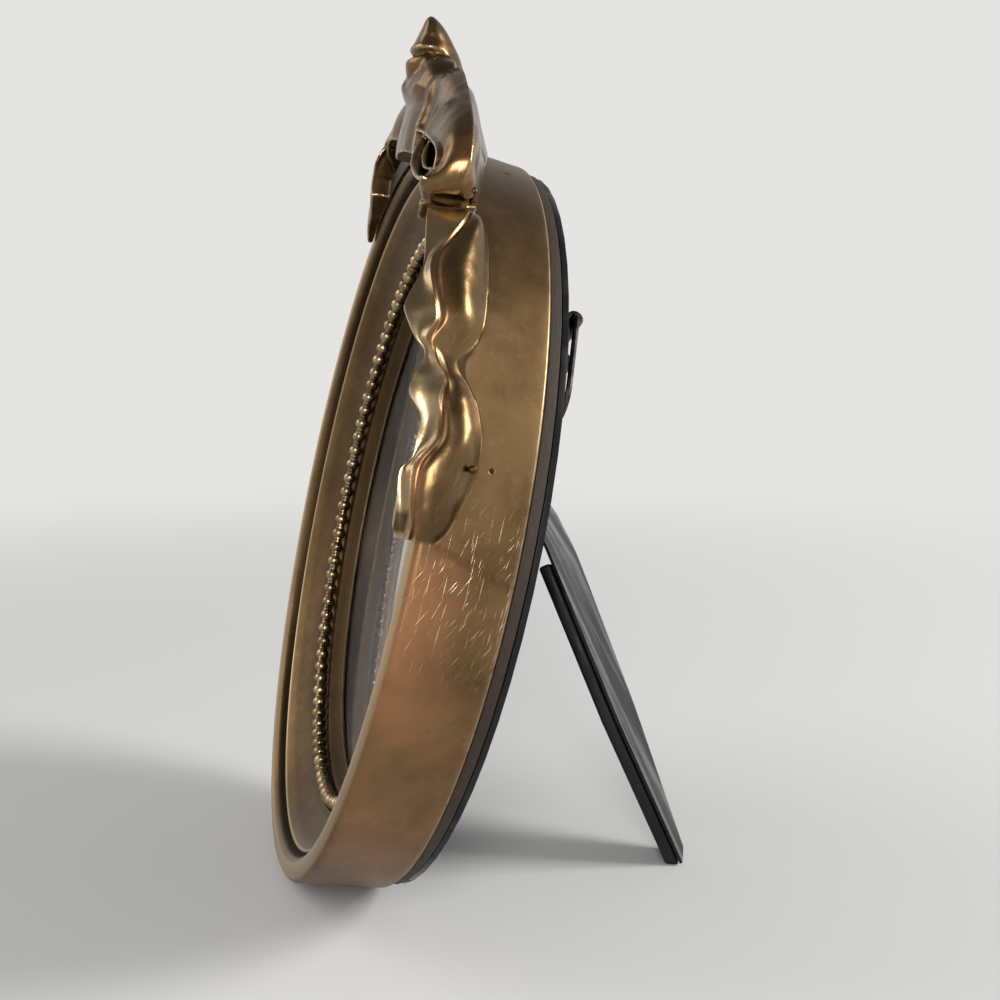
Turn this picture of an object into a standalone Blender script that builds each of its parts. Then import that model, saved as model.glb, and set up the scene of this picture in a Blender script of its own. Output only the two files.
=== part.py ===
"""A round gilt easel picture frame with a ribbon bow on top, its glazing, easel back, leg and hanging rings.

Metres, +Z up. The picture faces -Y, and the frame leans back on its leg. The origin is the middle of the
small flat on which the ring stands. The pieces are drawn in the frame's own space: x to the viewer's
right, y back through the depth, z up in the picture's plane, with zero at the ring's centre on its front
plane. Angles run in degrees round the ring from its right side over the top.
"""

import math

import bmesh
import bpy
from mathutils import Matrix, Vector

# Clearance between pieces that touch on the real object.
SEAT_GAP = 0.0003

# How the frame stands.
LEAN_BACK = math.radians(12.7)
BASE_FLAT_CUT = 0.0006
BACK_GROUND_CLEARANCE = 0.0005

# Ring moulding.
RING_STEPS = 80
RING_RADIUS = 0.0700
RING_BACK_DRAW = 0.0011
RING_DEPTH = 0.0169
RIM_BEAD_WIDTH = 0.0046
RIM_BEAD_RISE = 0.0019
RIM_GROOVE_WIDTH = 0.0008
RIM_GROOVE_DEPTH = 0.0010
RIDGE_WIDTH = 0.0006
RIDGE_RISE = 0.0006
COVE_SAG = 0.0011
COVE_POINTS = 5
MOULDING_WIDTH = 0.0174
LIP_WIDTH = 0.0017
LIP_DEPTH = 0.0094
REBATE_DEPTH = 0.0120
REBATE_WIDTH = 0.0040
INNER_WALL = 0.0026
OUTER_WALL = 0.0022
CHANNEL_ROOF_DEPTH = 0.0092

# Row of beads.
BEAD_COUNT = 108
BEAD_FROM_SIGHT = 0.0027
BEAD_DEPTH = 0.00735
BEAD_RADIUS = 0.0015
BEAD_NECK_RADIUS = 0.0010
BEAD_SEAT_GAP = 0.00035
BEAD_SEAT_ANGLES = (-15.0, 25.0, 62.0, 98.0)
BEAD_SIDES = 6

# Glazing, filler and back.
GLASS_THICKNESS = 0.0020
CARD_THICKNESS = 0.0004
FILLER_THICKNESS = 0.0016
BACK_BOARD_THICKNESS = 0.0017
BACK_COVER_THICKNESS = 0.0010
BACK_BOARD_INSET = 0.0008
BACK_COVER_INSET = 0.0003
DISC_STEPS = 60

# Screws that hold the back board to the ring's lugs.
BACK_SCREW_ANGLES = (67.5, 112.5, 247.5, 292.5)
LUG_RADIUS = 0.0024
LUG_ROOT = 0.0010
SCREW_RADIUS = 0.0008
SCREW_HEAD_RADIUS = 0.0019
SCREW_HEAD_HEIGHT = 0.0009
SCREW_HOLE_GAP = 0.0003
BACK_SCREW_LENGTH = 0.0080
ROUND_STEPS = 12
# A domed head: shares of its height, and of its radius there.
HEAD_PROFILE = ((0.0, 1.0), (0.35, 0.97), (0.75, 0.72), (1.0, 0.30))

# Bow crest, along the ring's rim. Angles are in degrees along the rim or around the bow's section.
CREST_START_ANGLE = 51.0
CREST_STATIONS = 47
CREST_CONTOUR_POINTS = 23
CREST_HEIGHT = 0.0129
CREST_RIGHT_END_HEIGHT = 0.0045
CREST_LEFT_END_HEIGHT = 0.0020
CREST_ROUNDNESS = 2.4
CREST_FRONT = 0.0036
CREST_BACK = 0.0119
CREST_END_BACK = 0.0040
CREST_TOP_DEPTH = 0.0010
CREST_FRONT_FULLNESS = 0.6
CREST_BACK_FULLNESS = 0.85
CREST_FLARE_SPREAD = 8.0
CREST_RIGHT_FLARE = 0.0032
CREST_LEFT_FLARE = -0.0022
CREST_DROP = 0.0034
CREST_LOWEST_CONTOUR = -25.0
CREST_UNDER_RIM_ANGLE = 110.0
KNOT_HALF_ANGLE = 9.0
KNOT_SWELL = 0.0023
KNOT_FRONT = 0.0037
CREASE_DEPTH = 0.0018
CREASE_SPREAD = 2.2
EYE_ANGLE = 24.8
EYE_SPREAD = 6.5
EYE_DEPTH = 0.0028
EYE_CONTOUR_ANGLE = 10.0
EYE_CONTOUR_SPREAD = 20.0
FOLD_HEIGHT = 0.0005
FOLD_COUNT = 8
FINIAL_HEIGHT = 0.0222
FINIAL_ROOT = 0.0035
FINIAL_HALF_WIDTH = 0.0052
FINIAL_HALF_DEPTH = 0.0047
FINIAL_FOOT_FORWARD = 0.0019
FINIAL_TIP_FORWARD = 0.0030
FINIAL_TIP_SHARE = 0.22
FINIAL_STEPS = 8
FINIAL_SIDES = 12

# Ribbon tails, along the outer wall below the bow.
TAIL_START_GAP = 0.8
TAIL_STATIONS = 33
RIGHT_TAIL_END_ANGLE = 6.0
LEFT_TAIL_END_ANGLE = 172.0
TAIL_OVERHANG = 0.0012
TAIL_WAVES = ((0.0046, 36.0, 4.5), (0.0024, 22.5, 3.0), (0.0012, 10.5, 2.5))
TAIL_PINCHES = ((0.35, 27.5, 2.5), (0.20, 16.5, 2.0))
TAIL_THICKNESS = 0.0036
TAIL_EDGE_THICKNESS = 0.0016
TAIL_BACK = 0.0052
TAIL_BACK_SWELL = 0.0024
TAIL_BACK_SWELL_ANGLE = 16.0
TAIL_BACK_SWELL_SPREAD = 7.0
LEFT_TAIL_FRONT = 0.0015
TAIL_DROP = 0.0018
TAIL_UNDER_RIM_ANGLE = 70.0
TAIL_CONTOUR_POINTS = 9
TAIL_END_SHARE = 0.10
TAIL_END_FULLNESS = 0.45

# Small round-headed pins that hold the crest and the tails.
PIN_RADIUS = 0.0004
PIN_HEAD_RADIUS = 0.0007
PIN_HEAD_HEIGHT = 0.0006
PIN_DEPTH_IN_RING = 0.0015
PIN_ROOM = 0.0060
CREST_PIN_ANGLE = 52.5
CREST_PIN_DEPTH = 0.0028
CREST_PIN_HEIGHT = 0.0036
TAIL_PIN_ANGLE = 13.3
TAIL_PIN_DEPTH = 0.0064
TAIL_PIN_HEIGHT = 0.0028

# Easel leg. The sheet that covers its rear is also its hinge, creased along a slanted line.
HINGE_X = -0.0237
HINGE_Z = 0.0351
HINGE_SLANT = math.radians(29.4)
LEG_TILT = math.radians(13.8)
LEG_OPENING = math.radians(41.7)
LEG_LENGTH = 0.1124
LEG_BOARD_LENGTH = 0.0625
LEG_TAPER_LENGTH = 0.0302
LEG_TOP_HALF_WIDTH = 0.0155
LEG_WAIST_HALF_WIDTH = 0.0126
LEG_FOOT_HALF_WIDTH = 0.0038
LEG_HINGE_HALF_WIDTH = 0.0090
LEG_BOARD_THICKNESS = 0.0024
LEG_SHEET_THICKNESS = 0.0006
LEG_RAMP_START = 0.0190
LEG_RAMP_STEPS = 10
LEG_FOOT_SPARE = 0.0060
HINGE_PAD_HEIGHT = 0.0080

# Strap hangers with swinging rings.
HANGER_FROM_EDGE = 0.0051
HANGER_KNUCKLE_ANGLE = 40.0
HANGER_HEADING = math.radians(31.4)
STRAP_LENGTH = 0.0100
STRAP_WIDTH = 0.0060
STRAP_THICKNESS = 0.0006
STRAP_SCREW_FROM_END = 0.0030
KNUCKLE_TURN = 280.0
KNUCKLE_STEPS = 14
HANG_RING_WIRE_RADIUS = 0.0005
HANG_RING_SIDES = 8
HANG_RING_HALF_WIDTH = 0.0040
HANG_RING_CORNER = 0.0010
HANG_RING_LENGTH = 0.0172
HANG_RING_ARC_STEPS = 10
HANGER_SCREW_LENGTH = 0.0052

# Depths of the stack behind the lip, each from the one in front.
GLASS_FRONT = REBATE_DEPTH + SEAT_GAP
CARD_FRONT = GLASS_FRONT + GLASS_THICKNESS + SEAT_GAP
FILLER_FRONT = CARD_FRONT + CARD_THICKNESS + SEAT_GAP
BOARD_FRONT = max(RING_DEPTH, FILLER_FRONT + FILLER_THICKNESS) + SEAT_GAP
COVER_FRONT = BOARD_FRONT + BACK_BOARD_THICKNESS + SEAT_GAP
BACK_FACE = COVER_FRONT + BACK_COVER_THICKNESS

# Radii, from the outer wall inwards.
RING_BACK_RADIUS = RING_RADIUS - RING_BACK_DRAW
BACK_BOARD_RADIUS = RING_BACK_RADIUS - BACK_BOARD_INSET
HANGER_RADIUS = BACK_BOARD_RADIUS - HANGER_FROM_EDGE
SIGHT_RADIUS = RING_RADIUS - MOULDING_WIDTH
LIP_RADIUS = SIGHT_RADIUS + LIP_WIDTH
BEAD_CIRCLE_RADIUS = SIGHT_RADIUS + BEAD_FROM_SIGHT
REBATE_RADIUS = SIGHT_RADIUS + REBATE_WIDTH
GLAZING_RADIUS = REBATE_RADIUS - SEAT_GAP
LUG_CIRCLE_RADIUS = (REBATE_RADIUS + INNER_WALL + RING_BACK_RADIUS - OUTER_WALL) / 2
KNUCKLE_BORE_RADIUS = HANG_RING_WIRE_RADIUS + SEAT_GAP
KNUCKLE_RADIUS = KNUCKLE_BORE_RADIUS + STRAP_THICKNESS
HANG_RING_REST_TILT = math.asin((KNUCKLE_RADIUS - HANG_RING_WIRE_RADIUS) / HANG_RING_LENGTH)
CREST_END_ANGLE = 180.0 - CREST_START_ANGLE

# Colours as linear red, green, blue, then roughness and metallic.
AGED_GILT = ((0.42, 0.30, 0.12), 0.36, 1.0)
WORN_BRASS = ((0.52, 0.38, 0.17), 0.30, 1.0)
CLEAR_GLASS = ((0.80, 0.84, 0.84), 0.05, 0.0)
GREY_PAPER = ((0.22, 0.19, 0.18), 0.80, 0.0)
GREY_CARD = ((0.30, 0.27, 0.22), 0.85, 0.0)
BROWN_BOARD = ((0.10, 0.065, 0.025), 0.80, 0.0)
BLACK_SHEET = ((0.012, 0.012, 0.014), 0.25, 0.0)
BLACK_BOARD = ((0.015, 0.014, 0.014), 0.60, 0.0)
BLACK_STEEL = ((0.03, 0.03, 0.03), 0.35, 1.0)


def clear_scene():
    """Removes what the empty file starts with."""
    for old in list(bpy.data.objects):
        bpy.data.objects.remove(old, do_unlink=True)


def make_material(name, finish):
    """A plain material from a (colour, roughness, metallic) finish."""
    colour, roughness, metallic = finish
    material = bpy.data.materials.new(name)
    material.use_nodes = True
    shader = material.node_tree.nodes["Principled BSDF"]
    shader.inputs["Base Color"].default_value = (*colour, 1.0)
    shader.inputs["Roughness"].default_value = roughness
    shader.inputs["Metallic"].default_value = metallic
    return material


def place_empty(name, matrix, parent=None):
    """An axis or a stand that other pieces are drawn from."""
    empty = bpy.data.objects.new(name, None)
    bpy.context.scene.collection.objects.link(empty)
    empty.parent = parent
    empty.matrix_local = matrix
    return empty


def add_solid(name, vertices, faces, finish=None, parent=None, smooth_angle=40.0):
    """A closed mesh object. Without a finish it is a cutter, which stays out of the render."""
    mesh = bpy.data.meshes.new(name)
    work = bmesh.new()
    points = [work.verts.new(point) for point in vertices]
    for face in faces:
        work.faces.new([points[index] for index in face])
    bmesh.ops.recalc_face_normals(work, faces=work.faces)
    work.to_mesh(mesh)
    work.free()
    mesh.shade_smooth()
    mesh.set_sharp_from_angle(angle=math.radians(smooth_angle))
    solid = bpy.data.objects.new(name, mesh)
    bpy.context.scene.collection.objects.link(solid)
    solid.parent = parent
    if finish:
        mesh.materials.append(make_material(name, finish))
    else:
        solid.hide_render = True
        solid.display_type = "WIRE"
    return solid


def apply_boolean(solid, other, operation):
    """Joins the other solid to this one, or cuts it away."""
    boolean = solid.modifiers.new(operation.lower(), "BOOLEAN")
    boolean.object = other
    boolean.operation = operation
    boolean.solver = "EXACT"


def loft(loops, closed_round=False):
    """Faces over a row of equal loops, either joined into a ring or capped at both ends."""
    count = len(loops[0])
    vertices = [point for loop in loops for point in loop]
    last = len(loops) if closed_round else len(loops) - 1
    faces = []
    for row in range(last):
        start = row * count
        following = (row + 1) % len(loops) * count
        for column in range(count):
            across = (column + 1) % count
            faces.append((start + column, start + across, following + across, following + column))
    if not closed_round:
        faces.append(tuple(range(count)))
        faces.append(tuple(range(len(vertices) - count, len(vertices))))
    return vertices, faces


def on_ring(radius, depth, angle):
    """The point at this radius and depth, at an angle in degrees from the ring's right side."""
    turn = math.radians(angle)
    return Vector((radius * math.cos(turn), depth, radius * math.sin(turn)))


def turned(profile, steps):
    """A closed profile of (radius, depth) points turned about the ring's axis."""
    loops = []
    for step in range(steps):
        loops.append([on_ring(radius, depth, 360.0 * step / steps) for radius, depth in profile])
    return loft(loops, closed_round=True)


def disc(radius, front, thickness):
    """A flat round plate about the ring's axis, with its front face at this depth."""
    loops = []
    for depth in (front, front + thickness):
        loops.append([on_ring(radius, depth, 360.0 * step / DISC_STEPS) for step in range(DISC_STEPS)])
    return loft(loops)


def rod(start, end, radius):
    """A straight round bar between two points."""
    along = end - start
    return round_rod(start, along, ((0.0, radius), (along.length, radius)))


def round_rod(seat, outward, steps):
    """A bar turned about a line through seat, from (height, radius) steps along it."""
    turn = Vector(outward).to_track_quat("Z", "Y")
    loops = []
    for height, radius in steps:
        loop = []
        for side in range(ROUND_STEPS):
            angle = 2 * math.pi * side / ROUND_STEPS
            loop.append(seat + turn @ Vector((radius * math.cos(angle), radius * math.sin(angle), height)))
        loops.append(loop)
    return loft(loops)


def headed_pin(seat, outward, shank_radius, length, head_radius, head_height):
    """A pin or screw: a domed head that stands on seat, and a shank that goes in from it."""
    steps = [(-length, shank_radius / 2), (-length + shank_radius, shank_radius), (0.0, shank_radius)]
    for height, radius in HEAD_PROFILE:
        steps.append((head_height * height, head_radius * radius))
    return round_rod(seat, outward, steps)


def wall_radius(depth):
    """The ring's outer radius at this depth: the wall draws in a little towards the back."""
    return RING_RADIUS - (RING_RADIUS - RING_BACK_RADIUS) * depth / RING_DEPTH


def rim_bead(angle, clearance=0.0):
    """A point of the front rim's round bead, from 0 degrees on the outer wall to 180 at the groove."""
    half_width = RIM_BEAD_WIDTH / 2
    turn = math.radians(angle)
    radius = RING_RADIUS - half_width + (half_width + clearance) * math.cos(turn)
    depth = RIM_BEAD_RISE - (RIM_BEAD_RISE + clearance) * math.sin(turn)
    return radius, depth


def ring_profile():
    """The moulding's section, from the outer wall over the front to the rebate and the hollow back."""
    points = [(RING_BACK_RADIUS, RING_DEPTH)]
    points += [rim_bead(angle) for angle in (0, 30, 60, 90, 120, 150, 180)]
    groove = RING_RADIUS - RIM_BEAD_WIDTH
    floor = RIM_BEAD_RISE + RIM_GROOVE_DEPTH
    ridge = groove - RIM_GROOVE_WIDTH
    points += [(groove - RIM_GROOVE_WIDTH / 3, floor), (ridge, floor - RIDGE_RISE)]
    cove_start = (ridge - RIDGE_WIDTH, floor - RIDGE_RISE)
    points.append(cove_start)
    seat = BEAD_RADIUS + BEAD_SEAT_GAP
    widest_step = BEAD_SEAT_ANGLES[1] - BEAD_SEAT_ANGLES[0]
    seat_radius = seat / math.cos(math.radians(widest_step / 2))
    cove_end = seat_point(seat_radius, BEAD_SEAT_ANGLES[0])
    for step in range(1, COVE_POINTS + 1):
        share = step / COVE_POINTS
        radius = cove_start[0] + (cove_end[0] - cove_start[0]) * share
        depth = cove_start[1] + (cove_end[1] - cove_start[1]) * share
        points.append((radius, depth + 4 * COVE_SAG * share * (1 - share)))
    points += [seat_point(seat_radius, angle) for angle in BEAD_SEAT_ANGLES[1:]]
    points.append((LIP_RADIUS, LIP_DEPTH))
    points.append((SIGHT_RADIUS, REBATE_DEPTH - SEAT_GAP))
    points.append((SIGHT_RADIUS, REBATE_DEPTH))
    points.append((REBATE_RADIUS, REBATE_DEPTH))
    points.append((REBATE_RADIUS, RING_DEPTH))
    inner = REBATE_RADIUS + INNER_WALL
    outer = RING_BACK_RADIUS - OUTER_WALL
    points += [(inner, RING_DEPTH), (inner, CHANNEL_ROOF_DEPTH)]
    points += [(outer, CHANNEL_ROOF_DEPTH), (outer, RING_DEPTH)]
    return points


def seat_point(radius, angle):
    """A point of the groove that the beads sit in, by its angle back from the ring's radius."""
    turn = math.radians(angle)
    return BEAD_CIRCLE_RADIUS + radius * math.cos(turn), BEAD_DEPTH + radius * math.sin(turn)


def ring_centre_height():
    """How high the ring's centre stands on its front plane, with the base flat ground off."""
    drop = RING_BACK_RADIUS * math.cos(LEAN_BACK) + RING_DEPTH * math.sin(LEAN_BACK)
    return drop - BASE_FLAT_CUT


def base_flat_middle():
    """How far back the middle of the base flat lies from the ring's centre."""
    height = ring_centre_height()
    draw = (RING_RADIUS - RING_BACK_RADIUS) / RING_DEPTH
    rise = math.sin(LEAN_BACK) - draw * math.cos(LEAN_BACK)
    front = (height - RING_RADIUS * math.cos(LEAN_BACK)) / rise
    ends = []
    for depth in (front, RING_DEPTH):
        ends.append(depth * math.cos(LEAN_BACK) - wall_radius(depth) * math.sin(LEAN_BACK))
    return sum(ends) / 2


def frame_matrix():
    """Leans the frame back and stands it on the base flat."""
    place = Matrix.Translation((0.0, -base_flat_middle(), ring_centre_height()))
    return place @ Matrix.Rotation(-LEAN_BACK, 4, "X")


def ground_block(name, top):
    """A cutter that fills everything below this height."""
    reach = 3 * RING_RADIUS
    loops = []
    for height in (-reach, top):
        corners = ((-reach, -reach), (reach, -reach), (reach, reach), (-reach, reach))
        loops.append([(x, y, height) for x, y in corners])
    return add_solid(name, *loft(loops))


def make_ring(stand, ground):
    """The turned moulding, with its lugs for the back screws and the flat that it stands on."""
    ring = add_solid("frame_ring", *turned(ring_profile(), RING_STEPS), AGED_GILT, stand)
    apply_boolean(ring, ground, "DIFFERENCE")
    for number, angle in enumerate(BACK_SCREW_ANGLES, 1):
        root = on_ring(LUG_CIRCLE_RADIUS, CHANNEL_ROOF_DEPTH - LUG_ROOT, angle)
        back = on_ring(LUG_CIRCLE_RADIUS, RING_DEPTH, angle)
        lug = add_solid(f"lug_{number}", *rod(root, back, LUG_RADIUS), parent=stand)
        apply_boolean(ring, lug, "UNION")
    return ring


def make_beads(stand):
    """One string of beads, thick at each bead and thin between two."""
    loops = []
    stations = 2 * BEAD_COUNT
    for station in range(stations):
        radius = BEAD_NECK_RADIUS if station % 2 else BEAD_RADIUS
        loop = []
        for side in range(BEAD_SIDES):
            turn = 2 * math.pi * side / BEAD_SIDES
            across = BEAD_CIRCLE_RADIUS + radius * math.cos(turn)
            depth = BEAD_DEPTH + radius * math.sin(turn)
            loop.append(on_ring(across, depth, 360.0 * station / stations))
        loops.append(loop)
    add_solid("bead_row", *loft(loops, closed_round=True), WORN_BRASS, stand)


def make_glazing(stand, low_ground):
    """Everything that lies behind the sight edge, from the front. Returns the two back pieces."""
    glass = disc(GLAZING_RADIUS, GLASS_FRONT, GLASS_THICKNESS)
    card = disc(GLAZING_RADIUS, CARD_FRONT, CARD_THICKNESS)
    filler = disc(GLAZING_RADIUS, FILLER_FRONT, FILLER_THICKNESS)
    board = disc(BACK_BOARD_RADIUS, BOARD_FRONT, BACK_BOARD_THICKNESS)
    cover = disc(BACK_BOARD_RADIUS - BACK_COVER_INSET, COVER_FRONT, BACK_COVER_THICKNESS)
    add_solid("glass", *glass, CLEAR_GLASS, stand)
    add_solid("picture_card", *card, GREY_PAPER, stand)
    add_solid("filler_board", *filler, GREY_CARD, stand)
    backs = []
    for name, shape, finish in (("back_board", board, BROWN_BOARD), ("back_cover", cover, BLACK_SHEET)):
        back = add_solid(name, *shape, finish, stand)
        apply_boolean(back, low_ground, "DIFFERENCE")
        backs.append(back)
    return backs


def make_back_screws(stand, ring, backs):
    """Screws through the back board and its cover into the ring's lugs."""
    for number, angle in enumerate(BACK_SCREW_ANGLES, 1):
        seat = on_ring(LUG_CIRCLE_RADIUS, BACK_FACE + SEAT_GAP, angle)
        screw = headed_pin(
            seat, Vector((0, 1, 0)), SCREW_RADIUS, BACK_SCREW_LENGTH, SCREW_HEAD_RADIUS, SCREW_HEAD_HEIGHT
        )
        add_solid(f"back_screw_{number}", *screw, BLACK_STEEL, stand)
        tip = seat - Vector((0, BACK_SCREW_LENGTH + SCREW_HOLE_GAP, 0))
        beyond = seat + Vector((0, SCREW_HEAD_HEIGHT, 0))
        hole = rod(tip, beyond, SCREW_RADIUS + SCREW_HOLE_GAP)
        hole = add_solid(f"back_screw_hole_{number}", *hole, parent=stand)
        for solid in (ring, *backs):
            apply_boolean(solid, hole, "DIFFERENCE")


def bump(value, centre, half_width):
    """A smooth hump of height one that is gone past twice its half width."""
    return math.exp(-(((value - centre) / half_width) ** 2))


def blend(start, end, share):
    """Goes smoothly from start at a share of zero to end at one."""
    share = min(max(share, 0.0), 1.0)
    share = share * share * (3 - 2 * share)
    return start + (end - start) * share


def crest_point(angle, contour):
    """A point of the bow's skin, by its angle along the rim and its turn from the front over the top."""
    off_middle = abs(angle - 90.0)
    reach = min(off_middle / (90.0 - CREST_START_ANGLE), 1.0)
    crease = CREASE_DEPTH * bump(off_middle, KNOT_HALF_ANGLE, CREASE_SPREAD)
    knot = bump(off_middle, 0.0, KNOT_HALF_ANGLE)
    end_height, flare = CREST_RIGHT_END_HEIGHT, CREST_RIGHT_FLARE
    if angle > 90.0:
        end_height, flare = CREST_LEFT_END_HEIGHT, CREST_LEFT_FLARE
    height = end_height + (CREST_HEIGHT - end_height) * math.sqrt(1.0 - reach**CREST_ROUNDNESS)
    height += KNOT_SWELL * knot - crease
    flare *= bump(off_middle, 90.0 - CREST_START_ANGLE, CREST_FLARE_SPREAD)
    front = CREST_FRONT + KNOT_FRONT * knot + flare - crease / 2
    back = CREST_BACK + (CREST_END_BACK - CREST_BACK) * reach
    turn = math.radians(contour)
    if contour > 0:
        radial = (height + FOLD_HEIGHT * math.cos(FOLD_COUNT * turn) * reach) * math.sin(turn)
    else:
        radial = -CREST_DROP * contour / CREST_LOWEST_CONTOUR
    if contour < 90:
        depth = CREST_TOP_DEPTH - (front + CREST_TOP_DEPTH) * math.cos(turn) ** CREST_FRONT_FULLNESS
    else:
        depth = CREST_TOP_DEPTH + (back - CREST_TOP_DEPTH) * (1 - math.sin(turn)) ** CREST_BACK_FULLNESS
    eye = bump(off_middle, EYE_ANGLE, EYE_SPREAD) * bump(contour, EYE_CONTOUR_ANGLE, EYE_CONTOUR_SPREAD)
    return RING_RADIUS + radial, depth + EYE_DEPTH * eye


def rim_seat(back, front_angle, steps):
    """Points that follow the ring's wall and rim bead at the seat gap, from the back edge to the front."""
    points = [(wall_radius(back) + SEAT_GAP, back)]
    points.append((RING_RADIUS + SEAT_GAP, RIM_BEAD_RISE))
    for step in range(1, steps + 1):
        points.append(rim_bead(front_angle * step / steps, SEAT_GAP))
    return points


def make_crest(stand):
    """The bow with its two loops and knot, which grips the rim from the front to the wall."""
    loops = []
    for station in range(CREST_STATIONS):
        angle = CREST_START_ANGLE + (CREST_END_ANGLE - CREST_START_ANGLE) * station / (CREST_STATIONS - 1)
        loop = []
        for step in range(CREST_CONTOUR_POINTS):
            share = step / (CREST_CONTOUR_POINTS - 1)
            loop.append(crest_point(angle, CREST_LOWEST_CONTOUR + (180.0 - CREST_LOWEST_CONTOUR) * share))
        back = loop[-1][1]
        loop[-1] = (wall_radius(back) + 2 * SEAT_GAP, back)
        loop += rim_seat(back, CREST_UNDER_RIM_ANGLE, 4)
        loops.append([on_ring(radius, depth, angle) for radius, depth in loop])
    crest = add_solid("bow_crest", *loft(loops), AGED_GILT, stand)
    apply_boolean(crest, make_finial(stand), "UNION")
    return crest


def make_finial(stand):
    """The pointed tuft of ribbon over the knot, which leans forward to its tip."""
    foot = RING_RADIUS + CREST_HEIGHT - FINIAL_ROOT
    rise = RING_RADIUS + FINIAL_HEIGHT - foot
    loops = []
    for step in range(FINIAL_STEPS + 1):
        share = step / FINIAL_STEPS
        swell = FINIAL_TIP_SHARE + (1 - FINIAL_TIP_SHARE) * math.sqrt(1.0 - share**2)
        centre = -FINIAL_FOOT_FORWARD - (FINIAL_TIP_FORWARD - FINIAL_FOOT_FORWARD) * share
        loop = []
        for side in range(FINIAL_SIDES):
            turn = 2 * math.pi * side / FINIAL_SIDES
            x = FINIAL_HALF_WIDTH * swell * math.cos(turn)
            y = centre + FINIAL_HALF_DEPTH * swell * math.sin(turn)
            loop.append((x, y, foot + rise * share))
        loops.append(loop)
    return add_solid("finial", *loft(loops), parent=stand)


def right_tail_front(angle):
    """How far back the right tail's wavy edge lies: it stands in front of the rim plane."""
    return -TAIL_OVERHANG - sum(height * bump(angle, centre, spread) for height, centre, spread in TAIL_WAVES)


def left_tail_front(angle):
    """The left tail lies wholly on the wall, behind the rim bead, all along."""
    return LEFT_TAIL_FRONT


def wall_seat(front, back):
    """Points that follow the ring at the seat gap from a tail's back edge to its front edge."""
    if front < 0:
        return rim_seat(back, TAIL_UNDER_RIM_ANGLE, 3)
    middle = (front + back) / 2
    return [(wall_radius(depth) + SEAT_GAP, depth) for depth in (back, middle, front)]


def make_tail(stand, name, start_angle, end_angle, front_of):
    """A ribbon tail that lies along the outer wall between two angles."""
    loops = []
    for station in range(TAIL_STATIONS):
        share = station / (TAIL_STATIONS - 1)
        angle = start_angle + (end_angle - start_angle) * share
        off_side = angle if angle < 90.0 else 180.0 - angle
        fullness = blend(TAIL_END_FULLNESS, 1.0, min(share, 1 - share) / TAIL_END_SHARE)
        front = front_of(angle)
        swell = TAIL_BACK_SWELL * bump(off_side, TAIL_BACK_SWELL_ANGLE, TAIL_BACK_SWELL_SPREAD)
        back = (TAIL_BACK + swell) * fullness
        pinch = 1.0 - sum(depth * bump(off_side, centre, spread) for depth, centre, spread in TAIL_PINCHES)
        height = TAIL_THICKNESS * fullness * pinch
        loop = [(RING_RADIUS - TAIL_DROP, front)] if front < 0 else []
        for step in range(TAIL_CONTOUR_POINTS):
            turn = math.pi * step / (TAIL_CONTOUR_POINTS - 1)
            depth = (front + back) / 2 - (back - front) / 2 * math.cos(turn)
            radial = TAIL_EDGE_THICKNESS + (height - TAIL_EDGE_THICKNESS) * math.sin(turn)
            loop.append((RING_RADIUS + radial, depth))
        loop += wall_seat(front, back)
        loops.append([on_ring(radius, depth, angle) for radius, depth in loop])
    return add_solid(name, *loft(loops), AGED_GILT, stand)


def make_pin(stand, name, angle, depth, height, pierced):
    """A pin driven straight in towards the ring's axis, and its hole in what it holds."""
    seat = on_ring(wall_radius(depth) + height, depth, angle)
    outward = on_ring(1.0, 0.0, angle)
    length = height + PIN_DEPTH_IN_RING
    pin = headed_pin(seat, outward, PIN_RADIUS, length, PIN_HEAD_RADIUS, PIN_HEAD_HEIGHT)
    add_solid(name, *pin, WORN_BRASS, stand)
    narrow, wide = PIN_RADIUS + SEAT_GAP, PIN_HEAD_RADIUS + SEAT_GAP
    steps = ((-length - SEAT_GAP, narrow), (-SEAT_GAP, narrow), (-SEAT_GAP, wide), (PIN_ROOM, wide))
    hole = add_solid(f"{name}_hole", *round_rod(seat, outward, steps), parent=stand)
    for solid in pierced:
        apply_boolean(solid, hole, "DIFFERENCE")


def leg_matrix():
    """The leg's place: x across it, y out of its rear, z up its length, turned open about the hinge line."""
    hinge = Vector((math.cos(HINGE_SLANT), 0.0, -math.sin(HINGE_SLANT)))
    place = Matrix.Translation((HINGE_X, hinge_depth(), HINGE_Z))
    return place @ Matrix.Rotation(LEG_OPENING, 4, hinge) @ Matrix.Rotation(-LEG_TILT, 4, "Y")


def hinge_depth():
    """The hinge line lies in the middle of the sheet, which is glued to the back."""
    return BACK_FACE + SEAT_GAP + LEG_SHEET_THICKNESS / 2


def leg_half_width(height):
    """Half of the leg's width, by the height below the hinge line's middle."""
    board_top = -LEG_LENGTH + LEG_BOARD_LENGTH
    waist = -LEG_LENGTH + LEG_TAPER_LENGTH
    if height > board_top:
        return blend(LEG_TOP_HALF_WIDTH, LEG_HINGE_HALF_WIDTH, (height - board_top) / -board_top)
    if height > waist:
        share = (height - waist) / (board_top - waist)
        return LEG_WAIST_HALF_WIDTH + (LEG_TOP_HALF_WIDTH - LEG_WAIST_HALF_WIDTH) * share
    share = (waist - height) / LEG_TAPER_LENGTH
    return LEG_WAIST_HALF_WIDTH + (LEG_FOOT_HALF_WIDTH - LEG_WAIST_HALF_WIDTH) * share


def crease_height(x):
    """Where the slanted crease crosses the leg, at this distance from the leg's middle line."""
    return -x * math.tan(HINGE_SLANT + LEG_TILT)


def slab_section(half, front, thickness, left_height, right_height):
    """A four-cornered section across the leg, whose two sides may lie at unlike heights."""
    back = front + thickness
    return [
        (-half, front, left_height),
        (half, front, right_height),
        (half, back, right_height),
        (-half, back, left_height),
    ]


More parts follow.
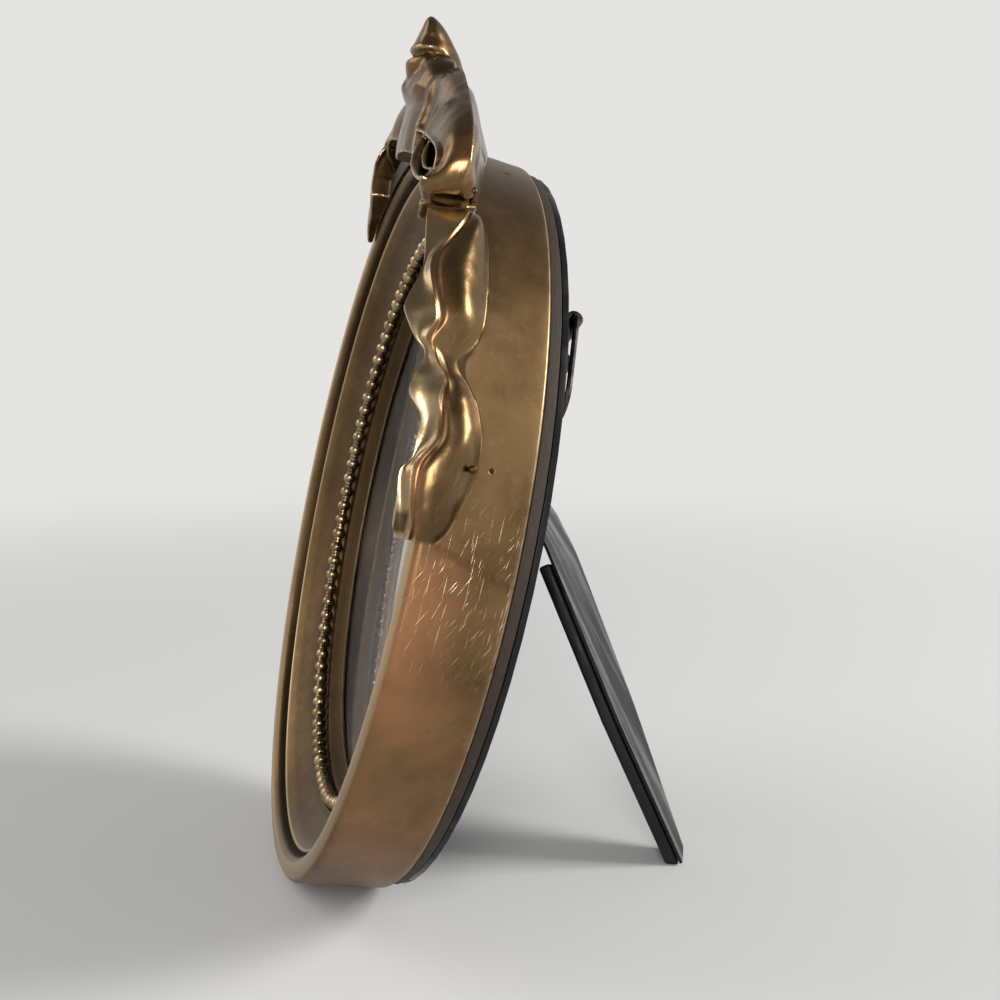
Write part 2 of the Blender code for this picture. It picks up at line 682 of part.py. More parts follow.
def make_leg(stand, ground, low_ground):
    """The leg's board, and the sheet that covers its rear and thins out above it to the crease."""
    pivot = place_empty("leg_hinge", leg_matrix(), stand)
    board_top = LEG_BOARD_LENGTH - LEG_LENGTH
    waist = LEG_TAPER_LENGTH - LEG_LENGTH
    foot = -LEG_LENGTH - LEG_FOOT_SPARE
    board_front = -LEG_SHEET_THICKNESS / 2
    sections = []
    for height in (board_top, waist, foot):
        half = leg_half_width(height)
        sections.append(slab_section(half, board_front, LEG_BOARD_THICKNESS, height, height))
    leg_board = add_solid("leg_board", *loft(sections), BLACK_BOARD, pivot)
    apply_boolean(leg_board, ground, "DIFFERENCE")

    raised = board_front + LEG_BOARD_THICKNESS + SEAT_GAP
    half = LEG_HINGE_HALF_WIDTH
    left, right = crease_height(-half) - SEAT_GAP, crease_height(half) - SEAT_GAP
    sections = [slab_section(half, board_front, LEG_SHEET_THICKNESS, left, right)]
    for step in range(LEG_RAMP_STEPS + 1):
        share = step / LEG_RAMP_STEPS
        height = -LEG_RAMP_START + (board_top + LEG_RAMP_START) * share
        front = blend(board_front, raised, share)
        sections.append(slab_section(leg_half_width(height), front, LEG_SHEET_THICKNESS, height, height))
    for height in (waist, foot):
        sections.append(slab_section(leg_half_width(height), raised, LEG_SHEET_THICKNESS, height, height))
    leg_sheet = add_solid("leg_sheet", *loft(sections), BLACK_SHEET, pivot)
    apply_boolean(leg_sheet, low_ground, "DIFFERENCE")


def make_hinge_pad(stand):
    """The part of the hinge sheet that is glued to the back, above the crease."""
    along = Vector((math.cos(HINGE_SLANT), 0.0, -math.sin(HINGE_SLANT)))
    up = Vector((math.sin(HINGE_SLANT), 0.0, math.cos(HINGE_SLANT)))
    half = LEG_HINGE_HALF_WIDTH / math.cos(HINGE_SLANT + LEG_TILT)
    loops = []
    for depth in (BACK_FACE + SEAT_GAP, BACK_FACE + SEAT_GAP + LEG_SHEET_THICKNESS):
        centre = Vector((HINGE_X, depth, HINGE_Z))
        low, high = SEAT_GAP, SEAT_GAP + HINGE_PAD_HEIGHT
        corners = ((-half, low), (half, low), (half, high), (-half, high))
        loops.append([centre + along * x + up * z for x, z in corners])
    add_solid("hinge_pad", *loft(loops), BLACK_SHEET, stand)


def strap_profile():
    """The strap and its rolled knuckle from the side: distance from the knuckle, height off the back."""
    outward, inward = range(KNUCKLE_STEPS + 1), range(KNUCKLE_STEPS, -1, -1)
    profile = [(STRAP_LENGTH, 0.0)]
    for radius, steps in ((KNUCKLE_RADIUS, outward), (KNUCKLE_BORE_RADIUS, inward)):
        for step in steps:
            turn = math.radians(-90.0 - KNUCKLE_TURN * step / KNUCKLE_STEPS)
            profile.append((radius * math.cos(turn), KNUCKLE_RADIUS + radius * math.sin(turn)))
    profile.append((STRAP_LENGTH, STRAP_THICKNESS))
    return profile


def hang_ring_path():
    """The middle line of the wire: a straight bar in the knuckle, two sides and a round end."""
    half, corner = HANG_RING_HALF_WIDTH, HANG_RING_CORNER
    path = []
    for centre_x, first in ((half - corner, -90.0), (corner - half, 180.0)):
        for step in range(4):
            turn = math.radians(first + 30.0 * step)
            path.append((centre_x + corner * math.cos(turn), corner + corner * math.sin(turn)))
    straight = HANG_RING_LENGTH - half
    arc = []
    for step in range(HANG_RING_ARC_STEPS + 1):
        turn = math.pi * step / HANG_RING_ARC_STEPS
        arc.append((half * math.cos(turn), straight + half * math.sin(turn)))
    return path[:4] + arc + path[4:]


def wire_loop(path, radius, sides):
    """A round wire along a closed flat path of (x, -z) points."""
    loops = []
    for index, (x, z) in enumerate(path):
        before, after = path[index - 1], path[(index + 1) % len(path)]
        tangent = Vector((after[0] - before[0], 0.0, before[1] - after[1])).normalized()
        across = tangent.cross(Vector((0.0, 1.0, 0.0)))
        loop = []
        for side in range(sides):
            turn = 2 * math.pi * side / sides
            offset = across * radius * math.cos(turn) + Vector((0.0, radius * math.sin(turn), 0.0))
            loop.append(Vector((x, 0.0, -z)) + offset)
        loops.append(loop)
    return loft(loops, closed_round=True)


def make_hanger(stand, word, side, backs):
    """A strap screwed to the back near its edge, and the ring that swings in the strap's knuckle."""
    angle = HANGER_KNUCKLE_ANGLE if side > 0 else 180.0 - HANGER_KNUCKLE_ANGLE
    axis = Vector((math.cos(HANGER_HEADING), 0.0, side * math.sin(HANGER_HEADING)))
    rear = Vector((0.0, 1.0, 0.0))
    down = rear.cross(axis)
    seat = on_ring(HANGER_RADIUS, BACK_FACE + SEAT_GAP, angle)
    loops = []
    for across in (-STRAP_WIDTH / 2, STRAP_WIDTH / 2):
        edge = seat + axis * across
        loops.append([edge + down * length + rear * height for length, height in strap_profile()])
    strap = add_solid(f"hanger_strap_{word}", *loft(loops), BLACK_STEEL, stand)

    screw_seat = seat + down * (STRAP_LENGTH - STRAP_SCREW_FROM_END) + rear * (STRAP_THICKNESS + SEAT_GAP)
    screw = headed_pin(
        screw_seat, rear, SCREW_RADIUS, HANGER_SCREW_LENGTH, SCREW_HEAD_RADIUS, SCREW_HEAD_HEIGHT
    )
    add_solid(f"hanger_screw_{word}", *screw, BLACK_STEEL, stand)
    tip = screw_seat - rear * (HANGER_SCREW_LENGTH + SCREW_HOLE_GAP)
    hole = rod(tip, screw_seat + rear * SCREW_HEAD_HEIGHT, SCREW_RADIUS + SCREW_HOLE_GAP)
    hole = add_solid(f"hanger_screw_hole_{word}", *hole, parent=stand)
    for solid in (strap, *backs):
        apply_boolean(solid, hole, "DIFFERENCE")

    turn = Matrix((axis, rear, -down)).transposed().to_4x4()
    turn = turn @ Matrix.Rotation(-HANG_RING_REST_TILT, 4, "X")
    place = Matrix.Translation(seat + rear * KNUCKLE_RADIUS) @ turn
    pivot = place_empty(f"hanger_pivot_{word}", place, stand)
    wire = wire_loop(hang_ring_path(), HANG_RING_WIRE_RADIUS, HANG_RING_SIDES)
    add_solid(f"hanger_ring_{word}", *wire, BLACK_STEEL, pivot)


def main():
    clear_scene()
    stand = place_empty("frame_stand", frame_matrix())
    ground = ground_block("ground", 0.0)
    low_ground = ground_block("ground_under_back", BACK_GROUND_CLEARANCE)
    ring = make_ring(stand, ground)
    make_beads(stand)
    backs = make_glazing(stand, low_ground)
    make_back_screws(stand, ring, backs)
    crest = make_crest(stand)
    right_start, left_start = CREST_START_ANGLE - TAIL_START_GAP, CREST_END_ANGLE + TAIL_START_GAP
    right = make_tail(stand, "ribbon_tail_right", right_start, RIGHT_TAIL_END_ANGLE, right_tail_front)
    left = make_tail(stand, "ribbon_tail_left", left_start, LEFT_TAIL_END_ANGLE, left_tail_front)
    for word, turned_round, tail in (("right", False, right), ("left", True, left)):
        crest_angle, tail_angle = CREST_PIN_ANGLE, TAIL_PIN_ANGLE
        if turned_round:
            crest_angle, tail_angle = 180.0 - crest_angle, 180.0 - tail_angle
        make_pin(stand, f"crest_pin_{word}", crest_angle, CREST_PIN_DEPTH, CREST_PIN_HEIGHT, (crest, ring))
        make_pin(stand, f"tail_pin_{word}", tail_angle, TAIL_PIN_DEPTH, TAIL_PIN_HEIGHT, (tail, ring))
    make_leg(stand, ground, low_ground)
    make_hinge_pad(stand)
    make_hanger(stand, "right", 1, backs)
    make_hanger(stand, "left", -1, backs)


main()
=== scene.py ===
"""Dresses the round gilt easel frame: moulding, beads, ribbon bow, glazing, easel back, leg and hangers."""
import math

import bmesh
import bpy
import numpy as np
from mathutils import Matrix, Vector, noise


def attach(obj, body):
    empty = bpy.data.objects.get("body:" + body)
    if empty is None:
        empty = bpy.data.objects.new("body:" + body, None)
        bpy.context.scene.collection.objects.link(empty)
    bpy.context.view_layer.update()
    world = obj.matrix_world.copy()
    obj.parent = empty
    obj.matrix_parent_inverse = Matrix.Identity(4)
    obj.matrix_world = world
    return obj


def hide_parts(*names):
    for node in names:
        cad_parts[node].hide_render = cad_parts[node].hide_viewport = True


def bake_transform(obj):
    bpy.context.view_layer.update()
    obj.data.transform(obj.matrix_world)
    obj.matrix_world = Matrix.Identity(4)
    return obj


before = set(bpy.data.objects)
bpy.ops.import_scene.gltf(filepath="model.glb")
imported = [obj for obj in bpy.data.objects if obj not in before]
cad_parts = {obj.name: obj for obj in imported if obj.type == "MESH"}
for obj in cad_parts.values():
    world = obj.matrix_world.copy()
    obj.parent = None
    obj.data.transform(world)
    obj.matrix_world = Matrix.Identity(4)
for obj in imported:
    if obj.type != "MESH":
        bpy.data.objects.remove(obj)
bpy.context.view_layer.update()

bl_info = {
    "name": "Round gilt easel frame",
    "version": (1, 0, 0),
    "blender": (4, 5, 0),
    "location": "View3D > Sidebar > Easel Frame",
    "description": "Builds and finishes a round gilt standing frame with a ribbon bow",
    "category": "Object",
}

# The stand that leans the frame back: x to the viewer's right, y back through the depth, z up in its plane.
LEAN_BACK = math.radians(12.7)
STAND_PLACE = Vector((0.0, 0.00056, 0.07033))
STAND = Matrix.Translation(STAND_PLACE) @ Matrix.Rotation(-LEAN_BACK, 4, "X")

# Ring moulding, as the solids have it, in metres. Depths run back from the front plane.
RING_RADIUS = 0.0700
RING_BACK_RADIUS = 0.0689
RING_DEPTH = 0.0169
SIGHT_RADIUS = 0.0526
SIGHT_DEPTH = 0.0120
REBATE_RADIUS = 0.0566
BACK_FACE = 0.0202
SEAT_GAP = 0.0003
BEAD_CIRCLE_RADIUS = 0.0553
BEAD_DEPTH = 0.00735
RIM_PER_DEGREE = RING_RADIUS * math.pi / 180
GRAIN_PER_DEGREE = 0.00122

# The moulding's section: the rounded rim, the groove and ridge inside it, the cove, the beads' seat, the
# slope to the sight edge, and the channel in the back. A pair is a radius and a depth.
BACK_EDGE = 0.0003
RIM_HALF_WIDTH = 0.0023
RIM_RISE = 0.0019
GROOVE_WIDTH = 0.0008
GROOVE_SECTION = ((0.15, 0.55), (0.4, 0.95), (0.62, 0.98), (0.82, 0.70), (0.95, 0.45))
GROOVE_DEPTH = 0.0010
RIDGE_WIDTH = 0.0006
QUIRK = RING_RADIUS - 0.0055
COVE_FOOT = (0.05716, 0.00685)
COVE_SAG = 0.0011
BEAD_SEAT_RADIUS = 0.00175
SIGHT_SLOPE_TOP = (0.0545, 0.00935)
SIGHT_SLOPE_FOOT = (SIGHT_RADIUS, 0.0117)
CHANNEL_RADII = (0.0592, 0.0667)
CHANNEL_FLOOR = 0.0092

# Screws that hold the back.
BACK_SCREW_CIRCLE = 0.06295
BACK_SCREW_ANGLES = (67.5, 112.5, 247.5, 292.5)
SCREW_HEAD_RADIUS = 0.0019
SCREW_HEAD_HEIGHT = 0.0009
# Shares of the head's radius and height.
SHANK_SHARE = 0.42
SLOT_HALF_WIDTH_SHARE = 0.16
SLOT_DEPTH_SHARE = 0.42
# A screw head's dome: shares of its height and of its radius.
SCREW_DOME = ((0.0, 1.0), (0.18, 1.0), (0.38, 0.95), (0.60, 0.82), (0.80, 0.62), (0.93, 0.40), (1.0, 0.16))

# Bow, along the rim: heights over the rim and depths behind its front plane.
BOW_FIRST_ANGLE = 51.0
BOW_MIDDLE = 90.0
BOW_REACH = 39.0
BOW_HEIGHT = 0.0129
BOW_BACK = 0.0119
BOW_END_BACK = 0.0040
BOW_TOP_DEPTH = 0.0010
BOW_LOWEST_CONTOUR = -25.0
BOW_DROP = 0.0034
# Each loop's height at its end, and how full its outline is.
NEAR_LOOP = (0.0045, 4.2)
FAR_LOOP = (0.0020, 2.4)
# The knot between the loops, and the crease on each side of it, in degrees off the middle and metres.
KNOT_SPREAD = 9.0
KNOT_RISE = 0.0023
KNOT_FRONT = 0.0037
CREASE_OFF = 9.0
CREASE_SPREAD = 2.2
CREASE_DEPTH = 0.0018
# The near loop's sag behind its eye, its fuller front, and the scroll at its end.
SAG_OFF = 24.0
SAG_DEPTH = 0.0012
FULL_OFF = 20.0
LOOP_SPREAD = 8.0
SCROLL_FRONT = 0.0022
SCROLL_SPREAD = 3.0
SCROLL_HEIGHT = 0.0028
SCROLL_HEIGHT_SPREAD = 0.0022
# How deep the loops' eyes go behind the front plane, over the rim and below it.
EYE_FLOOR = 0.0012
EYE_FLOOR_BY_RIM = -0.0007
# Dents along the bow's back, each by its place off the middle and its turn over the top.
BACK_DENTS = ((26.0, 150.0), (24.5, 161.0), (22.5, 171.0))
DENT_DEPTH = 0.0012

# Easel leg and its hinge sheet.
HINGE_X = -0.0237
HINGE_Z = 0.0351
HINGE_SLANT = math.radians(29.4)
LEG_TILT = math.radians(13.8)
LEG_OPENING = math.radians(41.7)
LEG_LENGTH = 0.1124
LEG_BOARD_LENGTH = 0.0625
LEG_TAPER_LENGTH = 0.0302
LEG_TOP_HALF_WIDTH = 0.0155
LEG_WAIST_HALF_WIDTH = 0.0126
LEG_FOOT_HALF_WIDTH = 0.0038
LEG_HINGE_HALF_WIDTH = 0.0090
LEG_BOARD_THICKNESS = 0.0024
LEG_SHEET_THICKNESS = 0.0006
LEG_RAMP_START = 0.0190
HINGE_PAD_HEIGHT = 0.0080
CREASE_MIDDLE = Vector((HINGE_X, BACK_FACE + SEAT_GAP + LEG_SHEET_THICKNESS / 2, HINGE_Z))
CREASE_LINE = Vector((math.cos(HINGE_SLANT), 0.0, -math.sin(HINGE_SLANT)))
CREASE_UP = Vector((math.sin(HINGE_SLANT), 0.0, math.cos(HINGE_SLANT)))
TABLE_CLEARANCE = 0.0006
RIPPLE = 0.00010

# The room: how bright it looks low down and overhead, between these sines of the elevation, and its tone.
ROOM_BRIGHTNESS = 0.78
ROOM_BRIGHTNESS_OVERHEAD = 0.20
ROOM_DIMS_FROM = 0.22
ROOM_DIMS_TO = 0.85
ROOM_COLOUR = (1.0, 0.99, 0.975)
TABLE_COLOUR = (0.60, 0.605, 0.61)
# The table takes on the room's tone between these distances from the frame.
TABLE_FADE = (0.16, 0.60)

# Lamps: name, place, size, power and colour. They face the frame's middle.
FRAME_MIDDLE = Vector((0.0, 0.02, 0.07))
WINDOW_COLOUR = (1.0, 0.98, 0.94)
LAMPS = (
    ("window_behind", (0.26, 0.98, 0.62), (0.42, 0.42), 12.0, WINDOW_COLOUR),
    ("window_beside", (0.98, -0.22, 0.46), (0.20, 0.50), 6.0, WINDOW_COLOUR),
    ("room_front", (-0.45, -1.10, 0.95), (1.1, 0.8), 6.5, (1.0, 1.0, 1.0)),
)

# The photograph's camera: turn from straight in front, height angle, distance, aim and lens in millimetres.
CAMERA_AZIMUTH = 1.3496
CAMERA_ELEVATION = 0.1396
CAMERA_DISTANCE = 0.28874
CAMERA_AIM = Vector((0.0, 0.03038, 0.07050))
CAMERA_LENS = 53.34
CAMERA_SENSOR = 36.0


def bump(value, centre, spread):
    """A smooth hump of height one."""
    return math.exp(-(((value - centre) / spread) ** 2))


def smooth_step(low, high, value):
    """Zero below low, one above high, and smooth between. Low may be the larger."""
    share = min(max((value - low) / (high - low), 0.0), 1.0)
    return share * share * (3 - 2 * share)


def flow(table, value):
    """A smooth reading of a table of (place, reading, ...) rows in rising order of place."""
    places = [row[0] for row in table]
    value = min(max(value, places[0]), places[-1])
    last = len(table) - 1
    index = max(min(sum(place <= value for place in places) - 1, last - 1), 0)
    before, first, second, after = (table[min(max(index + step, 0), last)] for step in (-1, 0, 1, 2))
    width = second[0] - first[0]
    share = (value - first[0]) / width
    readings = []
    for a, b, c, d in zip(before[1:], first[1:], second[1:], after[1:]):
        start = (c - a) / max(second[0] - before[0], 1e-9) * width
        end = (d - b) / max(after[0] - first[0], 1e-9) * width
        readings.append(
            b * (1 + 2 * share) * (1 - share) ** 2 + start * share * (1 - share) ** 2
            + c * share**2 * (3 - 2 * share) + end * share**2 * (share - 1)
        )
    return tuple(readings)


def on_ring(radius, depth, angle):
    """The point at this radius and depth, at an angle in degrees from the ring's right side."""
    turn = math.radians(angle)
    return Vector((radius * math.cos(turn), depth, radius * math.sin(turn)))


def wall_radius(depth):
    """The outer wall's radius, which narrows towards the back."""
    return RING_RADIUS - (RING_RADIUS - RING_BACK_RADIUS) * depth / RING_DEPTH


def grain(point, scale, seed):
    """Smooth noise from -1 to 1 at a point in metres, with features of about this size."""
    return noise.noise(Vector(point) / scale + Vector((seed, 2.7 * seed, -1.3 * seed)))


# Pieces


def new_object(name, data):
    """An object that is linked into the scene."""
    made = bpy.data.objects.new(name, data)
    bpy.context.scene.collection.objects.link(made)
    return made


def aimed(name, data, place, direction):
    """A lamp or camera at this place that looks along this direction."""
    made = new_object(name, data)
    made.location = place
    made.rotation_mode = "QUATERNION"
    made.rotation_quaternion = direction.to_track_quat("-Z", "Y")
    return made


def mesh_of(work, name):
    """Ends the editing of a mesh and gives it this name."""
    mesh = bpy.data.meshes.new(name)
    work.to_mesh(mesh)
    work.free()
    return mesh


def modified(name, mesh, add_modifiers):
    """The mesh as it comes out of the modifiers that add_modifiers puts on an object that holds it."""
    holder = new_object(name + "_holder", mesh)
    add_modifiers(holder.modifiers)
    graph = bpy.context.evaluated_depsgraph_get()
    result = bpy.data.meshes.new_from_object(holder.evaluated_get(graph), depsgraph=graph)
    bpy.data.objects.remove(holder)
    result.name = name
    return result


def place_piece(name, mesh, finish, body, nodes=(), to_world=True, angle=40.0):
    """Links a mesh as a finished piece at the origin that rides on a body and stands for solids."""
    if to_world:
        mesh.transform(STAND)
    mesh.materials.clear()
    mesh.materials.append(finish)
    mesh.shade_smooth()
    mesh.set_sharp_from_angle(angle=math.radians(angle))
    piece = new_object(name, mesh)
    if body:
        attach(piece, body)
    if nodes:
        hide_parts(*nodes)
    return piece


def loft_mesh(name, loops):
    """A mesh over a row of equal closed loops, capped at both ends."""
    work = bmesh.new()
    rows = [[work.verts.new(point) for point in loop] for loop in loops]
    count = len(rows[0])
    for here, there in zip(rows, rows[1:]):
        for column in range(count):
            across = (column + 1) % count
            work.faces.new((here[column], here[across], there[across], there[column]))
    work.faces.new(rows[0])
    work.faces.new(rows[-1])
    bmesh.ops.recalc_face_normals(work, faces=work.faces)
    return mesh_of(work, name)


def rounded_copy(name, node, width, finish, body, angle=35.0, segments=3):
    """A copy of a flat-faced solid with merged points and its edges rounded over."""
    work = bmesh.new()
    work.from_mesh(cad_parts[node].data)
    bmesh.ops.remove_doubles(work, verts=work.verts, dist=1e-6)
    bmesh.ops.dissolve_limit(work, angle_limit=math.radians(0.5), verts=work.verts, edges=work.edges)
    sharp = [
        edge for edge in work.edges
        if len(edge.link_faces) == 2 and edge.calc_face_angle(0.0) > math.radians(angle)
    ]
    bmesh.ops.bevel(
        work, geom=sharp, offset=width, segments=segments, profile=0.5, affect="EDGES", clamp_overlap=True
    )
    return place_piece(name, mesh_of(work, name), finish, body, (node,), to_world=False, angle=30.0)


# Finishes


def maths_method(operation, swapped=False):
    """A method of Wire that adds a Math node, with its own value last where swapped."""
    def method(self, *others):
        return self.maths(operation, *((*others, self) if swapped else (self, *others)))
    return method


class Wire:
    """A node socket that adds Math nodes when it meets an arithmetic sign."""

    def __init__(self, shader, socket):
        self.shader = shader
        self.socket = socket

    def maths(self, operation, *values):
        node = self.shader.node("ShaderNodeMath", {"operation": operation}, dict(enumerate(values)))
        return Wire(self.shader, node.outputs[0])

    __add__ = maths_method("ADD")
    __radd__ = maths_method("ADD", swapped=True)
    __sub__ = maths_method("SUBTRACT")
    __rsub__ = maths_method("SUBTRACT", swapped=True)
    __mul__ = maths_method("MULTIPLY")
    __truediv__ = maths_method("DIVIDE")
    absolute = maths_method("ABSOLUTE")
    root = maths_method("SQRT")
    lower = maths_method("MINIMUM")
    higher = maths_method("MAXIMUM")

    def ramp(self, low, high):
        """Zero to one, smoothly, as the value goes from low to high."""
        if low > high:
            return 1 - self.ramp(high, low)
        settings = {"interpolation_type": "SMOOTHSTEP"}
        node = self.shader.node("ShaderNodeMapRange", settings, {0: self, 1: low, 2: high})
        return Wire(self.shader, node.outputs[0])


class Nodes:
    """A node tree under construction."""

    def node(self, kind, settings=None, values=None):
        """A node with its settings made first, then the values or links of its sockets."""
        made = self.tree.nodes.new(kind)
        for name, value in (settings or {}).items():
            setattr(made, name, value)
        for name, value in (values or {}).items():
            self.feed(made.inputs[name], value)
        return made

    def feed(self, socket, value):
        """Links a wire or an output to the socket, or sets its value. A colour is given its opacity."""
        if isinstance(value, Wire):
            self.tree.links.new(value.socket, socket)
        elif isinstance(value, bpy.types.NodeSocket):
            self.tree.links.new(value, socket)
        else:
            if socket.type == "RGBA" and len(value) == 3:
                value = (*value, 1.0)
            socket.default_value = value


class Shader(Nodes):
    """A material under construction, read on Object coordinates."""

    def __init__(self, name):
        self.material = bpy.data.materials.new(name)
        self.material.use_nodes = True
        self.tree = self.material.node_tree
        self.surface = self.tree.nodes["Principled BSDF"]
        self.output = self.tree.nodes["Material Output"]

    def point(self, turned=True, scale=(1, 1, 1)):
        """Object coordinates in metres, in the leaning frame's own space where turned."""
        made = self.node("ShaderNodeTexCoord").outputs["Object"]
        if turned:
            place = -(Matrix.Rotation(LEAN_BACK, 3, "X") @ STAND_PLACE)
            values = {"Vector": made, "Location": place, "Rotation": (LEAN_BACK, 0, 0), "Scale": (1, 1, 1)}
            made = self.node("ShaderNodeMapping", {"vector_type": "POINT"}, values).outputs[0]
        if scale != (1, 1, 1):
            made = self.node("ShaderNodeVectorMath", {"operation": "MULTIPLY"}, {0: made, 1: scale})
            made = made.outputs[0]
        return made

    def split(self, vector):
        node = self.node("ShaderNodeSeparateXYZ", values={0: vector})
        return [Wire(self, output) for output in node.outputs]

    def join(self, x, y, z):
        return self.node("ShaderNodeCombineXYZ", values={0: x, 1: y, 2: z}).outputs[0]

    def noise(self, vector, scale, detail=4.0, roughness=0.55, distortion=0.0):
        values = {"Vector": vector, "Scale": scale, "Detail": detail, "Roughness": roughness}
        node = self.node("ShaderNodeTexNoise", values={**values, "Distortion": distortion})
        return Wire(self, node.outputs["Fac"])

    def reading(self, name):
        """A reading that the mesh carries at its points."""
        return Wire(self, self.node("ShaderNodeAttribute", {"attribute_name": name}).outputs["Fac"])

    def mix(self, share, first, second):
        node = self.node("ShaderNodeMix", {"data_type": "RGBA"}, {0: share, 6: first, 7: second})
        return node.outputs[2]

    def bumped(self, height, strength, distance):
        values = {"Strength": strength, "Distance": distance, "Height": height}
        return self.node("ShaderNodeBump", values=values).outputs[0]

    def finish(self, **sockets):
        for name, value in sockets.items():
            self.feed(self.surface.inputs[name.replace("_", " ").title().replace("Ior", "IOR")], value)
        return self.material


def polar(shader, point):
    """The radius, the angle in radians and the depth of a point in the frame's own space."""
    x, y, z = shader.split(point)
    radius = (x * x + z * z).root()
    angle = z.maths("ARCTAN2", z, x)
    return radius, angle, y


class Spot:
    """Where a point of the gilding lies on the ring, its mottling, and the bend reading that gives rubbed
    edges and painted shade in creases.
    """

    def __init__(self, shader):
        self.shader = shader
        self.point = shader.point()
        self.radius, self.angle, self.depth = polar(shader, self.point)
        self.degrees = self.angle * (180 / math.pi)
        self.cloud = shader.noise(self.point, 55.0, 5.0, 0.6)
        self.fine = shader.noise(self.point, 420.0, 4.0, 0.65)
        self.patch = shader.noise(self.point, 90.0, 3.0, 0.5, 0.6)
        self.wear_and_crease_shade = shader.reading("wear_and_crease_shade")

    def wall_mark(self, degrees, depth, outer, inner):
        """One on a round mark on the outer wall, zero off it."""
        across = (self.degrees - degrees) * RIM_PER_DEGREE
        inward = self.depth - depth
        return (across * across + inward * inward).root().ramp(outer, inner)


# Scratches on the wall: their slant in radians, how close they lie, and a shift that keeps them apart.
SCRATCH_RUNS = ((0.12, 1.0, 0.0), (0.30, 0.8, 3.1), (0.02, 1.3, 7.7), (0.52, 1.0, 5.2))
SCRATCHES_ALONG = 170.0
SCRATCHES_ACROSS = 4200.0


def scratch_lines(spot):
    """Fine long scratches over the outer wall."""
    shader = spot.shader
    around = spot.angle * RING_RADIUS
    lines = 0.0
    for slant, closeness, shift in SCRATCH_RUNS:
        first = around * math.cos(slant) + spot.depth * math.sin(slant) + shift
        second = spot.depth * math.cos(slant) - around * math.sin(slant)
        place = shader.join(first * SCRATCHES_ALONG, second * SCRATCHES_ACROSS * closeness, shift)
        lines = shader.noise(place, 1.0, 2.0, 0.5).ramp(0.67, 0.76) + lines
    return lines


def ring_wear_and_highlights(spot):
    """On the ring: the shares of copper, the painted highlights on the rim's top and the ridge, and how thick
    the scratches lie.
    """
    degrees, depth, radius = spot.degrees, spot.depth, spot.radius
    rubbed = degrees.ramp(-30.0, -12.0) * degrees.ramp(9.0, 1.0) * depth.ramp(0.0130, 0.0020)
    lower = degrees.ramp(2.0, -22.0) * degrees.ramp(-70.0, -45.0) * 0.4
    copper = (spot.patch.ramp(0.20, 0.80) * (rubbed * 0.5 + lower + 0.12) + rubbed * 0.45).lower(1.0)
    # Painted highlights: a pale line along the rim's top and along the ridge inside the groove, in place of
    # reflections.
    rim = depth.ramp(0.00085, 0.0003) * radius.ramp(RING_RADIUS - 0.0040, RING_RADIUS - 0.0030)
    ridge = radius.ramp(QUIRK - 0.0008, QUIRK - 0.0003) * radius.ramp(QUIRK + 0.0005, QUIRK)
    painted_highlight = (rim + ridge * depth.ramp(0.0040, 0.0030) * 0.7).lower(1.0)
    scratched = degrees.ramp(-16.0, -3.0) * degrees.ramp(11.0, 3.0) * depth.ramp(0.0, 0.003) * 0.95 + 0.03
    return [copper], painted_highlight, scratched


def bow_wear_and_highlights(spot):
    """On the bow and tails: the shares of copper, the painted highlight on the tails' front facets, and how
    thick the scratches lie.
    """
    strip = spot.shader.reading("strip") * (spot.patch.ramp(0.35, 0.60) * 0.6 + 0.1)
    # The pale front facets are a painted highlight, for the light that falls on them from the front.
    facet = spot.shader.reading("facet") * (spot.cloud.ramp(0.15, 0.60) * 0.45 + 0.25)
    return [spot.patch.ramp(0.56, 0.70) * 0.75, strip], facet, 0.12


def ring_stains_and_shade(spot, grime_and_shade, pit):
    """Adds painted shade in the quirk, the cove and the slope to the sight edge, the smear across its wall,
    the pit and the stain on top.
    """
    degrees, depth, radius = spot.degrees, spot.depth, spot.radius
    smear = ((degrees - 4.0) + (depth - 0.003) * (4.0 / 0.014)).absolute() * RIM_PER_DEGREE
    smear = smear.ramp(0.0011, 0.0002) * depth.ramp(0.002, 0.004)
    smear = smear * spot.shader.noise(spot.point, 700.0, 3.0, 0.6).ramp(0.3, 0.55)
    # Painted shade: darker down the slope to the sight edge, in the quirk below the ridge, and in the cove.
    inner = radius.ramp(0.0556, 0.0538) * 0.70
    quirk_shade = radius.ramp(QUIRK - 0.0003, QUIRK + 0.0002) * radius.ramp(QUIRK + 0.0014, QUIRK + 0.0008)
    quirk_shade = quirk_shade * depth.ramp(0.0036, 0.0028) * 0.95
    cove = radius.ramp(0.0638, 0.0622) * radius.ramp(0.0562, 0.0576) * (spot.fine.ramp(0.3, 0.7) * 0.2 + 0.35)
    stain = spot.wall_mark(69.0, 0.0115, 0.0010, 0.0004)
    return (grime_and_shade + smear * 0.40 + inner + quirk_shade + cove).lower(1.0).higher(pit).higher(stain * 0.6)


def bow_shade(spot, grime_and_shade):
    """Adds the dark inside the eyes of both loops and at the near tail's tip."""
    degrees, depth, radius = spot.degrees, spot.depth, spot.radius
    front = depth.ramp(-0.0040, -0.0022) * depth.ramp(0.0040, 0.0028) * radius.ramp(0.0776, 0.0756)
    near_eye = degrees.ramp(53.6, 55.6) * degrees.ramp(77.0, 74.0)
    far_eye = degrees.ramp(97.0, 99.0) * degrees.ramp(114.3, 113.6)
    tip = degrees.ramp(7.8, 6.6) * degrees.ramp(4.2, 5.0)
    tip = tip * depth.ramp(-0.0035, -0.0031) * depth.ramp(-0.0012, -0.0018)
    return grime_and_shade.higher(front * (near_eye + far_eye) * 0.85).higher(tip * 0.9)


